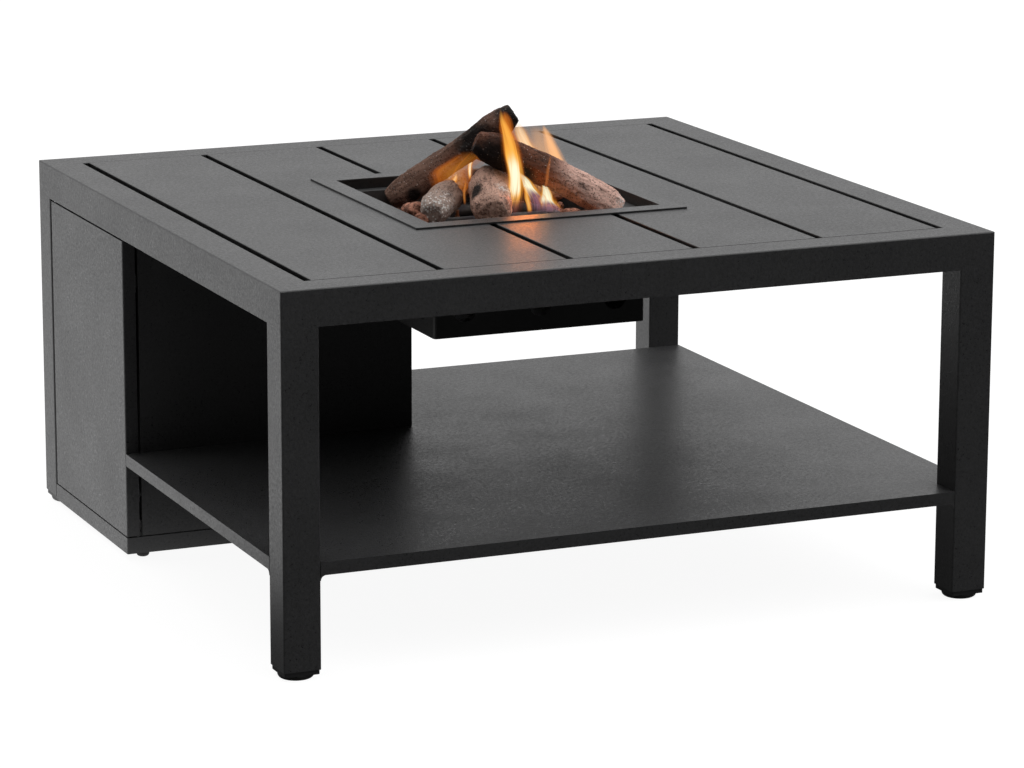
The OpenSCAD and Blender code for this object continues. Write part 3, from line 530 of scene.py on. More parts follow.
def open_to_light(tree, half_w, top):
    """Mask of painted shade: nothing on walls that lie inside a square and below its top, where shade
    is painted, and one elsewhere
    """
    edge_w, wall_end, wall_start = 1 * MM, 2.2 * MM, 0.3 * MM
    axes = add_node(tree, "SeparateXYZ", {0: object_place(tree)}).outputs
    side = maths(tree, "MAXIMUM", maths(tree, "ABSOLUTE", axes[0]), maths(tree, "ABSOLUTE", axes[1]))
    outside = smooth_step(tree, side, half_w, half_w + edge_w)
    above = smooth_step(tree, axes[2], top - wall_end, top - wall_start)
    return maths(tree, "MAXIMUM", outside, above)


def coated_metal(name, paint, settings, roughness, painted_shade_gaps=None):
    """Sprayed coat with a fine grain, and painted shade on the walls in the gaps of a square top where
    its size is given
    """
    material, tree, shader = new_material(name)
    grain = use_group(tree, coat_grain_group(), {
        "Colour": rgba(paint), "Scale": 1 / settings.grain, "Roughness": roughness,
        "Contrast": settings.contrast})
    shade = grain["Colour"]
    if painted_shade_gaps:
        # Painted shade: the walls below the top take the near-black gap colour
        shade = mix_colour(tree, open_to_light(tree, *painted_shade_gaps), rgba(settings.gap), shade)
    link_surface(tree, shader, shade, grain["Roughness"])
    add_bump(tree, shader, grain["Height"], settings.grain_depth)
    return material


def bare_metal(name, tint, roughness, stain, stain_share=0.35):
    """Metal with a fine drawn grain, and heat or handling stains over a share of it"""
    grain, depth, stain_w = 0.9 * MM, 0.02 * MM, 26 * MM
    material, tree, shader = new_material(name, Metallic=1.0)
    place = object_place(tree)
    drawn = noise_value(tree, place, grain, 4.0, 0.7)
    patch = smooth_step(tree, noise_value(tree, place, stain_w, 5.0), 0.62 - stain_share * 0.3, 0.78)
    tone = mix_colour(tree, patch, rgba(tint), rgba(stain))
    rough = plus(tree, roughness - 0.1, times(tree, drawn, 0.2))
    link_surface(tree, shader, tone, plus(tree, rough, times(tree, patch, 0.2), clamp=True))
    add_bump(tree, shader, drawn, depth)
    return material


def moulded(name, tint, roughness):
    """Moulded plastic, rubber or glazed ceramic with a fine eroded grain"""
    grain, depth, patch_w = 0.7 * MM, 0.03 * MM, 20 * MM
    material, tree, shader = new_material(name)
    place = object_place(tree)
    fine = noise_value(tree, place, grain)
    cloud = noise_value(tree, place, patch_w, 4.0)
    dull = tuple(0.6 * c for c in tint)
    tone = mix_colour(tree, cloud, rgba(dull), rgba(tint))
    link_surface(tree, shader, tone, plus(tree, roughness - 0.12, times(tree, cloud, 0.24), clamp=True))
    add_bump(tree, shader, fine, depth)
    return material


class FIREPIT_OT_stage(bpy.types.Operator):
    """Camera at the photograph's angle, pale floor, soft sky and the fire's own light"""

    bl_idname = "firepit.stage"
    bl_label = "Stage"
    bl_options = {"REGISTER", "UNDO"}

    def execute(self, context):
        settings = context.scene.fire_pit.stage
        self.add_camera(context, settings)
        self.add_floor(settings)
        self.add_world(context, settings)
        self.add_fire_light(settings)
        context.scene.view_settings.view_transform = "Standard"
        return {"FINISHED"}

    def add_camera(self, context, settings):
        deselect_all()
        bpy.ops.object.camera_add()
        camera = context.object
        camera.name = "camera"
        camera.data.lens = settings.lens
        camera.data.sensor_width = 36.0
        turn = Matrix.Rotation(-settings.camera_turn, 4, "Z")
        dip = Matrix.Rotation(math.pi / 2 - settings.camera_dip, 4, "X")
        roll = Matrix.Rotation(settings.camera_roll, 4, "Z")
        camera.matrix_world = Matrix.Translation(settings.camera_place) @ turn @ dip @ roll
        context.scene.camera = camera

    def add_floor(self, settings):
        deselect_all()
        floor_w, shadow_tone = 60, 0.16
        bpy.ops.mesh.primitive_plane_add(size=floor_w)
        floor = bpy.context.object
        floor.name = "floor"
        material = bpy.data.materials.new("pale_floor")
        tree = empty_tree(material)
        backwards = dot_product(tree, object_place(tree), FLOOR_SIDE)
        share = smooth_step(tree, backwards, 0.02, 0.48, settings.near_bounce, settings.far_bounce)
        bounce = add_node(tree, "Emission", {"Color": rgba((1, 1, 1)), "Strength": share})
        shadow = add_node(tree, "BsdfDiffuse", {"Color": rgba([shadow_tone] * 3)})
        glow = add_node(tree, "Emission", {"Color": rgba(settings.floor), "Strength": 1.0})
        seen = add_node(tree, "AddShader", {0: shadow.outputs[0], 1: glow.outputs[0]})
        self.show(tree, "OutputMaterial", bounce, seen)
        floor.data.materials.append(material)

    def add_world(self, context, settings):
        world = bpy.data.worlds.new("studio")
        context.scene.world = world
        tree = empty_tree(world)
        towards = add_node(tree, "TexCoord").outputs["Generated"]
        facing = dot_product(tree, towards, SKY_SIDE)
        sideways, _, height = add_node(tree, "SeparateXYZ", {0: towards}).outputs
        right = smooth_step(tree, sideways, -0.3, 0.4, 0.1 * settings.shade, settings.shade)
        front = smooth_step(tree, height, 0.35, 0.6, settings.low_shade, right)
        back = smooth_step(tree, height, 0.12, 0.6, settings.low_sky, settings.sky)
        level = smooth_step(tree, facing, 0.1, 0.55, front, back)
        studio = add_node(tree, "Background", {"Color": rgba((1, 1, 1)), "Strength": level})
        backdrop = add_node(tree, "Background", {"Color": rgba((1, 1, 1)), "Strength": 1.0})
        self.show(tree, "OutputWorld", studio, backdrop)

    def show(self, tree, output_kind, lighting, seen):
        """Lights the table with one shader and shows the other to the camera"""
        eye = add_node(tree, "LightPath").outputs["Is Camera Ray"]
        both = add_node(tree, "MixShader", {0: eye, 1: lighting.outputs[0], 2: seen.outputs[0]})
        output = add_node(tree, output_kind)
        tree.links.new(both.outputs[0], output.inputs["Surface"])

    def add_fire_light(self, settings):
        ring_low, ring_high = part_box("burner_ring")
        fire_place = Vector((10 * MM, ring_low.y - 12 * MM, ring_high.z + 48 * MM))
        glow_place = Vector((-8 * MM, ring_low.y - 20 * MM, ring_high.z + 58 * MM))
        fire_r, glow_w, glow_h = 22 * MM, 42 * MM, 56 * MM
        deselect_all()
        bpy.ops.object.light_add(type="POINT", location=fire_place)
        light = bpy.context.object
        light.name = "fire_light"
        light.data.energy = settings.fire_light
        light.data.color = settings.fire_colour
        light.data.shadow_soft_size = fire_r
        forwards = Matrix.Rotation(-math.pi / 2, 4, "X")
        bpy.ops.object.light_add(type="AREA")
        glow = bpy.context.object
        glow.name = "fire_glow"
        glow.matrix_world = Matrix.Translation(glow_place) @ forwards
        glow.data.shape = "RECTANGLE"
        glow.data.size = glow_w
        glow.data.size_y = glow_h
        glow.data.energy = settings.glow
        glow.data.color = settings.glow_colour


class FIREPIT_OT_coated_frame(bpy.types.Operator):
    """Powder coat on the rails, legs, slats, shelf, cabinet and trim, with painted shade in the gaps
    between the slats and on the trim's walls
    """

    bl_idname = "firepit.coated_frame"
    bl_label = "Coated frame"
    bl_options = {"REGISTER", "UNDO"}

    def execute(self, context):
        settings = context.scene.fire_pit.coat
        inner_w, top = -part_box("left_rail")[1].x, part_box("left_rail")[1].z
        trim_top, trim_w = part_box("burner_trim")[1].z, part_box("burner_trim")[1].x
        coat = coated_metal("powder_coat", settings.coat, settings, settings.roughness)
        # Painted shade on the walls of the slats and rails in the gaps, below the top
        top_coat_painted_shade = coated_metal("top_coat_painted_shade", settings.coat, settings, settings.top_roughness,
                                painted_shade_gaps=(inner_w, top))
        # Painted shade on the trim's edge and inner lip, below its top
        trim_coat_painted_shade = coated_metal("trim_coat_painted_shade", settings.coat, settings, settings.roughness,
                                 painted_shade_gaps=(2 * trim_w, trim_top))
        for node in COATED_NODES:
            dress(node, coat)
        for node in TOP_NODES:
            dress(node, top_coat_painted_shade)
        dress("burner_trim", trim_coat_painted_shade)
        return {"FINISHED"}


class FIREPIT_OT_burner(bpy.types.Operator):
    """Finishes of the burner box, pan, ring burner, gas pipe and probes, and the pipe's nuts"""

    bl_idname = "firepit.burner"
    bl_label = "Burner"
    bl_options = {"REGISTER", "UNDO"}

    def execute(self, context):
        settings = context.scene.fire_pit.coat
        paint = coated_metal("burner_paint", settings.burner_paint, settings, 0.55)
        blued = (0.05, 0.042, 0.05)
        scorched = bare_metal("scorched_steel", (0.09, 0.085, 0.08), 0.6, blued, 0.9)
        pan_paint = coated_metal("pan_paint", settings.burner_paint, settings, 0.6)
        copper = bare_metal("copper", (0.72, 0.36, 0.20), 0.34, (0.30, 0.15, 0.09))
        brass = bare_metal("brass", (0.72, 0.52, 0.22), 0.32, (0.34, 0.22, 0.09))
        ceramic = moulded("white_ceramic", (0.78, 0.75, 0.68), 0.35)
        for node, material in (
                ("burner_box", paint), ("burner_pan", pan_paint), ("burner_ring", scorched),
                ("injector", brass), ("gas_pipe", copper), ("gas_valve", brass),
                ("gas_inlet", brass), ("ignition_electrode", ceramic), ("thermocouple", copper)):
            dress(node, material)
        self.add_pipe_nuts(brass)
        return {"FINISHED"}

    def add_pipe_nuts(self, brass):
        """A hexagon nut on each end of the gas pipe"""
        across, nut_l = 16 * MM, 11 * MM
        low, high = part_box("gas_pipe")
        pipe_r, pipe_z = (high.z - low.z) / 2, (low.z + high.z) / 2
        valve_end = Vector((low.x + nut_l / 2, high.y - pipe_r, pipe_z))
        burner_end = Vector((high.x - nut_l / 2, low.y + pipe_r, pipe_z))
        nut = add_cylinder(across / math.sqrt(3), nut_l, vertices=6, turn=(0, math.pi / 2, 0))
        apply_place(nut)
        bevel_faces(nut, lambda normal: abs(normal.x) > 0.9, 1.2 * MM, 2)
        inset_faces(nut, lambda normal: abs(normal.x) > 0.99, 1.5 * MM)
        smooth(nut, 30)
        nuts = [copy_of(nut, Matrix.Translation(place)) for place in (valve_end, burner_end)]
        delete(nut)
        finish_piece(join(nuts), "gas_pipe_nuts", "frame", brass)


class FIREPIT_OT_feet(bpy.types.Operator):
    """Leg caps, the cabinet's rubber feet, and levelling feet with a threaded screw"""

    bl_idname = "firepit.feet"
    bl_label = "Feet"
    bl_options = {"REGISTER", "UNDO"}

    def execute(self, context):
        settings = context.scene.fire_pit.coat
        cap = moulded("cap_plastic", (0.022, 0.022, 0.023), 0.5)
        rubber = moulded("rubber", (0.016, 0.016, 0.016), 0.7)
        steel = coated_metal("foot_steel", (0.014, 0.014, 0.014), settings, 0.4)
        dress("leg_caps", cap)
        dress("cabinet_feet", rubber)
        foot = self.threaded_foot("front_left_foot")
        start = middle("front_left_foot")
        for node, body in FOOT_NODES.items():
            place = middle(node) - start
            copy = copy_of(foot, Matrix.Translation((place.x, place.y, 0)))
            finish_piece(copy, node + "_threaded", body, steel)
            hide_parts(node)
        delete(foot)
        return {"FINISHED"}

    def threaded_foot(self, node):
        """Disc with a rounded sole, and a screw with a real thread"""
        low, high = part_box(node)
        axis = (low + high) / 2
        disc_r, disc_t, boss_r, bite = (high.x - low.x) / 2, 7 * MM, 11 * MM, 0.2 * MM
        screw_r, pitch, ridge = 5.95 * MM, 1.75 * MM, 0.55 * MM
        disc = add_cylinder(disc_r, disc_t, vertices=72, place=(0, 0, disc_t / 2))
        apply_place(disc)
        bevel_faces(disc, lambda normal: normal.z < -0.9, 6 * MM, 8)
        bevel_faces(disc, lambda normal: normal.z > 0.9, 0.6 * MM, 2)
        inset_faces(disc, lambda normal: normal.z > 0.99, disc_r - boss_r)
        smooth(disc, 35)
        core_r = screw_r - ridge * 1.5
        core_l = high.z - disc_t
        core = add_cylinder(core_r, core_l, vertices=24, place=(0, 0, disc_t + core_l / 2 - bite))
        apply_place(core)
        bevel_faces(core, lambda normal: normal.z > 0.9, 0.8 * MM, 1)
        smooth(core, 30)
        thread = self.thread(screw_r, pitch, ridge, disc_t + ridge, core_l - 3 * pitch)
        foot = join([disc, core, thread])
        foot.data.transform(Matrix.Translation((axis.x, axis.y, 0)))
        return foot

    def thread(self, radius, pitch, ridge, start, length):
        """Three-sided ridge that winds up the screw"""
        deselect_all()
        bpy.ops.mesh.primitive_circle_add(vertices=3, radius=ridge, location=(radius - ridge, 0, start),
                                          rotation=(-math.pi / 2, 0, -math.pi / 2))
        ridge_line = bpy.context.object
        apply_place(ridge_line)
        turns = int(length / pitch)
        apply_modifier(ridge_line, "SCREW", axis="Z", angle=2 * math.pi, screw_offset=pitch,
                       iterations=turns, steps=20, render_steps=20)
        close_mesh(ridge_line, hole_sides=3)
        smooth(ridge_line, 50)
        return ridge_line


class FIREPIT_OT_door_fittings(bpy.types.Operator):
    """Finishes of the door's bushes, studs, strikes and magnets"""

    bl_idname = "firepit.door_fittings"
    bl_label = "Door fittings"
    bl_options = {"REGISTER", "UNDO"}

    def execute(self, context):
        nylon = moulded("white_nylon", (0.72, 0.72, 0.68), 0.45)
        zinc = bare_metal("zinc_plate", (0.58, 0.58, 0.60), 0.36, (0.36, 0.35, 0.33))
        dress("door_bushes", nylon)
        for node in ("door_strikes", "upper_hinge_stud", "lower_hinge_stud"):
            dress(node, zinc)
        dress("door_magnets", moulded("magnet_housing", (0.020, 0.020, 0.021), 0.5))
        return {"FINISHED"}


class FIREPIT_OT_controls(bpy.types.Operator):
    """Control plate with its screws and dial marks, knob, valve stem and igniter"""

    bl_idname = "firepit.controls"
    bl_label = "Controls"
    bl_options = {"REGISTER", "UNDO"}

    def execute(self, context):
        settings = context.scene.fire_pit.coat
        plate = coated_metal("plate_paint", settings.burner_paint, settings, 0.42)
        plastic = moulded("black_plastic", (0.020, 0.020, 0.021), 0.42)
        red = moulded("red_plastic", (0.34, 0.022, 0.015), 0.3)
        zinc = bpy.data.materials["zinc_plate"]
        ink = moulded("white_ink", (0.75, 0.75, 0.73), 0.5)
        dress("control_plate", plate)
        dress("valve_stem", zinc)
        for node in ("control_knob", "igniter_body", "igniter_nut"):
            dress(node, plastic)
        dress("igniter_button", red)
        self.add_screws(zinc)
        self.add_dial_marks(ink)
        self.add_pointer(ink)
        return {"FINISHED"}

    def cross_screw(self, radius):
        """Pan head with a cross recess, its seat at Z = 0"""
        height = 0.62 * radius
        head = add_cylinder(radius, height, vertices=32, place=(0, 0, height / 2))
        apply_place(head)
        bevel_faces(head, lambda normal: normal.z > 0.9, 0.72 * height, 4)
        smooth(head, 40)
        for size in ((1.1, 0.3, 0.8), (0.3, 1.1, 0.8)):
            cutter = add_box([radius * share for share in size], (0, 0, height))
            apply_place(cutter)
            cut_with(head, cutter)
        return head

    def add_screws(self, zinc):
        """Screws in the control plate's corners and along the back panel's foot"""
        plate_low, plate_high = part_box("control_plate")
        panel_low, panel_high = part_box("cabinet_back_panel")
        inset, panel_inset, panel_rise = 9 * MM, 24 * MM, 10 * MM
        places = [(x, plate_high.y, z)
                  for x in (plate_low.x + inset, plate_high.x - inset)
                  for z in (plate_low.z + inset, plate_high.z - inset)]
        span = panel_high.x - panel_low.x - 2 * panel_inset
        places += [(panel_low.x + panel_inset + share * span, panel_high.y, panel_low.z + panel_rise)
                   for share in (0.0, 0.5, 1.0)]
        screw = self.cross_screw(3.6 * MM)
        outwards = Matrix.Rotation(-math.pi / 2, 4, "X")
        screws = []
        for i, place in enumerate(places):
            turn = Matrix.Rotation(0.7 * i, 4, "Z")
            screws.append(copy_of(screw, Matrix.Translation(place) @ outwards @ turn))
        delete(screw)
        finish_piece(join(screws), "panel_screws", "frame", zinc)

    def add_dial_marks(self, ink):
        """Printed dots round the knob that grow with the flame"""
        axis = middle("control_knob")
        plate_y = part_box("control_plate")[1].y
        ring_r, print_t, dots = 28 * MM, 0.12 * MM, 7
        marks = []
        for i in range(dots):
            turn = math.pi * i / (dots - 1)
            place = (axis.x + ring_r * math.sin(turn), plate_y + print_t / 2,
                     axis.z + ring_r * math.cos(turn))
            dot = add_cylinder((0.7 + 0.22 * i) * MM, print_t, vertices=24, place=place,
                               turn=(math.pi / 2, 0, 0))
            marks.append(dot)
        apply_place(*marks)
        finish_piece(join(marks), "dial_marks", "frame", ink)

    def add_pointer(self, ink):
        """Painted line in the groove of the knob's grip"""
        low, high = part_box("control_knob")
        axis = (low + high) / 2
        groove_w, groove_depth, paint_t, reach = 1.5 * MM, 1.0 * MM, 0.5 * MM, 16.5 * MM
        line = add_box((groove_w, paint_t, reach),
                       (axis.x, high.y - groove_depth + paint_t / 2, axis.z + reach / 2))
        apply_place(line)
        bevel_faces(line, lambda normal: normal.y > 0.9, 0.15 * MM, 2)
        finish_piece(line, "knob_pointer", "knob", ink)


class LogForm:
    """Middle, direction and length of a log, read from its node"""

    def __init__(self, node):
        points = np.array([v.co for v in NODES[node].data.vertices])
        centre = points.mean(0)
        axis = np.linalg.svd(points - centre, full_matrices=False)[2][0]
        if axis[0] < 0:
            axis = -axis
        along = (points - centre) @ axis
        self.axis = Vector(axis)
        self.length = float(along.max() - along.min())
        self.middle = Vector(centre) + self.axis * float(along.max() + along.min()) / 2
        self.side = self.axis.cross(Vector((0, 0, 1))).normalized()
        self.up = self.side.cross(self.axis)

    def point(self, along, side=0.0, up=0.0):
        """A place by its share of the length from the left end, and its offsets in metres"""
        end = self.middle + self.axis * (along - 0.5) * self.length
        return end + self.side * side + self.up * up

    def matrix(self):
        turn = Matrix((self.axis, self.side, self.up)).transposed().to_4x4()
        return Matrix.Translation(self.middle) @ turn


# Shade of each log at its left and right ends: partly the ceramic's own colour, partly painted light,
# as the right and centre logs are given paler ceramic where they take more light
LOG_SHADES = {
    "back_log": ("smoked_brown", "smoked_brown"),
    "right_log": ("red_brown", "pale_brown"),
    "centre_log": ("rose_brown", "rose_brown"),
    "front_log": ("light_brown", "light_brown"),
    "rear_log": ("light_brown", "smoked_brown"),
}
# Soot and ash on each log: share of its length from the left end, offset to the front and upwards in
# millimetres, and radius in millimetres
LOG_MARKS = {
    "back_log": {"soot": ((0.70, 14, -8, 48), (0.96, 10, 0, 30), (0.16, 16, -8, 15)),
                 "ash": ((0.62, 20, -6, 20),)},
    "right_log": {"soot": ((0.16, 14, -10, 44), (0.04, 10, -16, 24), (0.34, 18, -16, 24)),
                  "ash": ((1.0, 4, 6, 22),)},
    "centre_log": {"soot": ((0.34, -24, 18, 17), (1.0, 0, 14, 30)), "ash": ((0.34, 18, 20, 18),)},
    "front_log": {"soot": ((0.97, 14, -4, 24),), "ash": ((0.0, 4, -8, 54),)},
    "rear_log": {"soot": ((0.5, 16, 0, 40),), "ash": ((0.15, 0, 10, 30),)},
}


class FIREPIT_OT_ceramic_logs(bpy.types.Operator):
    """Five ceramic logs with lumps, bark ridges, pits, soot and ash"""

    bl_idname = "firepit.ceramic_logs"
    bl_label = "Ceramic logs"
    bl_options = {"REGISTER", "UNDO"}

    def execute(self, context):
        settings = context.scene.fire_pit.logs
        textures = {
            "lumps": cloud_texture("log_lumps", 24 * MM),
            "bark": cloud_texture("log_bark", 1.0, 3),
            "pits": cloud_texture("log_pits", 3.2 * MM),
        }
        for node in LOG_NODES:
            form = LogForm(node)
            log = self.carve(node, form, settings, textures)
            finish = self.ceramic(node, form, settings)
            finish_piece(log, node + "_carved", "frame", finish)
            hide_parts(node)
        for texture in textures.values():
            bpy.data.textures.remove(texture)
        return {"FINISHED"}

    def carve(self, node, form, settings, textures):
        """Rounds a fine mesh of the log and gives it hollows, ridges and pits"""
        log = merged_copy(node, node + "_carved")
        apply_modifier(log, "REMESH", mode="VOXEL", voxel_size=settings.voxel, use_smooth_shade=True)
        apply_modifier(log, "SMOOTH", factor=0.5, iterations=30)
        grain = bpy.data.objects.new("log_grain", None)
        bpy.context.scene.collection.objects.link(grain)
        ridge_l, ridge_w = 34 * MM, 6.5 * MM
        grain.matrix_world = form.matrix() @ Matrix.Diagonal((ridge_l, ridge_w, ridge_w, 1))
        bpy.context.view_layer.update()
        displace(log, textures["lumps"], settings.lumps, 0.55)
        displace(log, textures["bark"], settings.bark, 0.55, grain)
        displace(log, textures["pits"], settings.pits, 0.6)
        delete(grain)
        smooth(log, 180)
        return log

    def marks(self, tree, form, spots):
        """One mask for several soft spots on a log, the strongest where they overlap"""
        mask = None
        for along, side, up, radius in spots:
            spot = use_group(tree, soft_spot_group(), {
                "Centre": form.point(along, side * MM, up * MM), "Radius": radius * MM})["Mask"]
            mask = spot if mask is None else maths(tree, "MAXIMUM", mask, spot)
        return mask

    def ceramic(self, node, form, settings):
        """Baked ceramic: brown in the hollows, paler on the ridges, with grit, soot and ash"""
        material, tree, shader = new_material(node + "_ceramic", Specular_IOR_Level=0.15)
        place = object_place(tree)
        along = add_node(tree, "Mapping", {
            "Vector": place, "Location": form.middle, "Rotation": form.matrix().to_euler()},
            vector_type="TEXTURE").outputs[0]
        streak = add_node(tree, "Mapping", {"Vector": along, "Scale": (0.22, 1, 1)}).outputs[0]
        streaks = noise_value(tree, streak, 7 * MM, 6.0, 0.7)
        clouds = noise_value(tree, place, 30 * MM, 4.0)
        mottle = plus(tree, times(tree, streaks, 0.6), times(tree, clouds, 0.4))
        tone = smooth_step(tree, mottle, 0.32, 0.54)
        left, right = [rgba(getattr(settings, shade)) for shade in LOG_SHADES[node]]
        share = maths(tree, "DIVIDE", add_node(tree, "SeparateXYZ", {0: along}).outputs[0], form.length)
        clean = mix_colour(tree, smooth_step(tree, share, -0.06, 0.20), left, right)
        fired = mix_colour(tree, tone, rgba(settings.dark_brown), clean)
        specks = use_group(tree, grit_group(), {"Scale": 620.0, "Share": 0.08})["Mask"]
        fired = mix_colour(tree, times(tree, specks, 0.4), fired, rgba(settings.ash))
        pores = use_group(tree, grit_group(), {"Scale": 470.0, "Share": 0.30})["Mask"]
        fired = mix_colour(tree, times(tree, pores, 0.7), fired, rgba(settings.soot))
        crumbs = use_group(tree, grit_group(), {"Scale": 300.0, "Share": 0.6})["Mask"]
        crumbs = plus(tree, 0.15, times(tree, crumbs, 0.85))
        ash = times(tree, self.marks(tree, form, LOG_MARKS[node]["ash"]), crumbs)
        fired = mix_colour(tree, ash, fired, rgba(settings.ash))
        soot = self.marks(tree, form, LOG_MARKS[node]["soot"])
        spared = minus(tree, soot, times(tree, specks, 0.35), clamp=True)
        fired = mix_colour(tree, times(tree, spared, 0.97), fired, rgba(settings.soot))
        link_surface(tree, shader, fired, minus(tree, 0.95, times(tree, soot, 0.25)))
        height = plus(tree, noise_value(tree, place, 1.6 * MM), times(tree, pores, -0.6))
        add_bump(tree, shader, height, 0.5 * MM)
        return material


# Stones of the second layer: place, half width and height over the first layer, in millimetres
HEAP = (
    (-132, -34, 15, 11), (-133, -12, 13, 8), (-114, -34, 12, 7), (-132, -58, 11, 3),
    (-132, -96, 11, -4), (-104, -128, 12, -4), (2, -124, 9, 2), (68, -126, 10, 1),
    (84, -112, 9, 3), (98, -128, 10, 1), (132, -40, 12, 2), (134, 20, 12, 3),
    (126, 72, 13, 2), (132, 124, 12, 3), (84, 130, 13, 1), (30, 134, 12, 2),
    (-28, 136, 13, 1), (-92, 134, 12, 2), (-134, 110, 12, -14),
)


class FIREPIT_OT_lava_bed(bpy.types.Operator):
    """Porous red lava stones, and small ones between them on the pan's floor"""

    bl_idname = "firepit.lava_bed"
    bl_label = "Lava bed"
    bl_options = {"REGISTER", "UNDO"}

    def execute(self, context):
        settings = context.scene.fire_pit.logs
        lava = self.lava_stone(settings)
        lumps = cloud_texture("stone_lumps", 11 * MM)
        pores = cloud_texture("stone_pores", 3.5 * MM)
        stones = merged_copy("lava_stones", "lava_stones_rough")
        apply_modifier(stones, "REMESH", mode="VOXEL", voxel_size=1.5 * MM, use_smooth_shade=True)
        apply_modifier(stones, "SMOOTH", factor=0.5, iterations=4)
        displace(stones, lumps, 3.2 * MM, 0.75)
        displace(stones, pores, 1.4 * MM, 0.75)
        smooth(stones, 180)
        finish_piece(stones, "lava_stones_rough", "frame", lava)
        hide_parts("lava_stones")
        pebbles = self.scatter(settings)
        displace(pebbles, lumps, 5.0 * MM, 0.75)
        smooth(pebbles, 35)
        finish_piece(pebbles, "lava_pebbles", "frame", lava)
        for texture in (lumps, pores):
            bpy.data.textures.remove(texture)
        return {"FINISHED"}

    def scatter(self, settings):
        """Small stones on the pan's floor, clear of the ring and the neck, and the heap over them"""
        draw = random.Random(7)
        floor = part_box("lava_stones")[0].z
        ring_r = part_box("burner_ring")[1].x
        ring_inner, ring_outer, neck_r = ring_r - 32 * MM, ring_r + 9 * MM, 30 * MM
        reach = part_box("lava_stones")[1].x - 6 * MM
        seed_stone = self.seed_stone(2)
        stones = []
        while len(stones) < settings.pebbles:
            x, y = draw.uniform(-reach, reach), draw.uniform(-reach, reach)
            size = [draw.uniform(5.5, 9.5) * MM for _ in range(3)]
            away = math.hypot(x, y)
            if ring_inner < away < ring_outer or away < neck_r:
                continue
            turn = Matrix.Rotation(draw.uniform(0, math.tau), 4, "Z")
            tilt = Matrix.Rotation(draw.uniform(-0.3, 0.3), 4, "X")
            shape = Matrix.Diagonal((*size, 1))
            place = Matrix.Translation((x, y, floor + 0.85 * size[2]))
            stones.append(copy_of(seed_stone, place @ turn @ tilt @ shape))
        delete(seed_stone)
        return join(stones + self.heap(draw))

    def seed_stone(self, detail):
        deselect_all()
        bpy.ops.mesh.primitive_ico_sphere_add(subdivisions=detail, radius=1)
        return bpy.context.object

    def heap(self, draw):
        """A second layer of stones where they rise to the trim beside the logs"""
        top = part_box("lava_stones")[1].z
        seed_stone = self.seed_stone(5)
        stones = []
        for x, y, size, rise in HEAP:
            shape = [size * draw.uniform(0.85, 1.2) * MM for _ in range(3)]
            turn = Matrix.Rotation(draw.uniform(0, math.tau), 4, "Z")
            tilt = Matrix.Rotation(draw.uniform(-0.4, 0.4), 4, "X")
            place = Matrix.Translation((x * MM, y * MM, top + rise * MM))
            stones.append(copy_of(seed_stone, place @ turn @ tilt @ Matrix.Diagonal((*shape, 1))))
        delete(seed_stone)
        return stones

    def lava_stone(self, settings):
        """Rust-red porous stone, darker in its pores and greyed by soot in places"""
        material, tree, shader = new_material("lava_stone", Specular_IOR_Level=0.25)
        place = object_place(tree)
        tone = smooth_step(tree, noise_value(tree, place, 9 * MM, 5.0, 0.7), 0.35, 0.68)
        dark = tuple(0.30 * c for c in settings.lava)
        red = mix_colour(tree, tone, rgba(dark), rgba(settings.lava))
        soot = smooth_step(tree, noise_value(tree, place, 45 * MM), 0.55, 0.72)
        red = mix_colour(tree, times(tree, soot, 0.6), red, rgba(settings.dark_brown))
        pores = use_group(tree, grit_group(), {"Scale": 380.0, "Share": 0.35})["Mask"]
        red = mix_colour(tree, times(tree, pores, 0.8), red, rgba(settings.soot))
        link_surface(tree, shader, red, minus(tree, 0.98, times(tree, tone, 0.12)))
        height = minus(tree, noise_value(tree, place, 2.2 * MM, 4.0), pores)
        add_bump(tree, shader, height, 0.8 * MM)
        return material


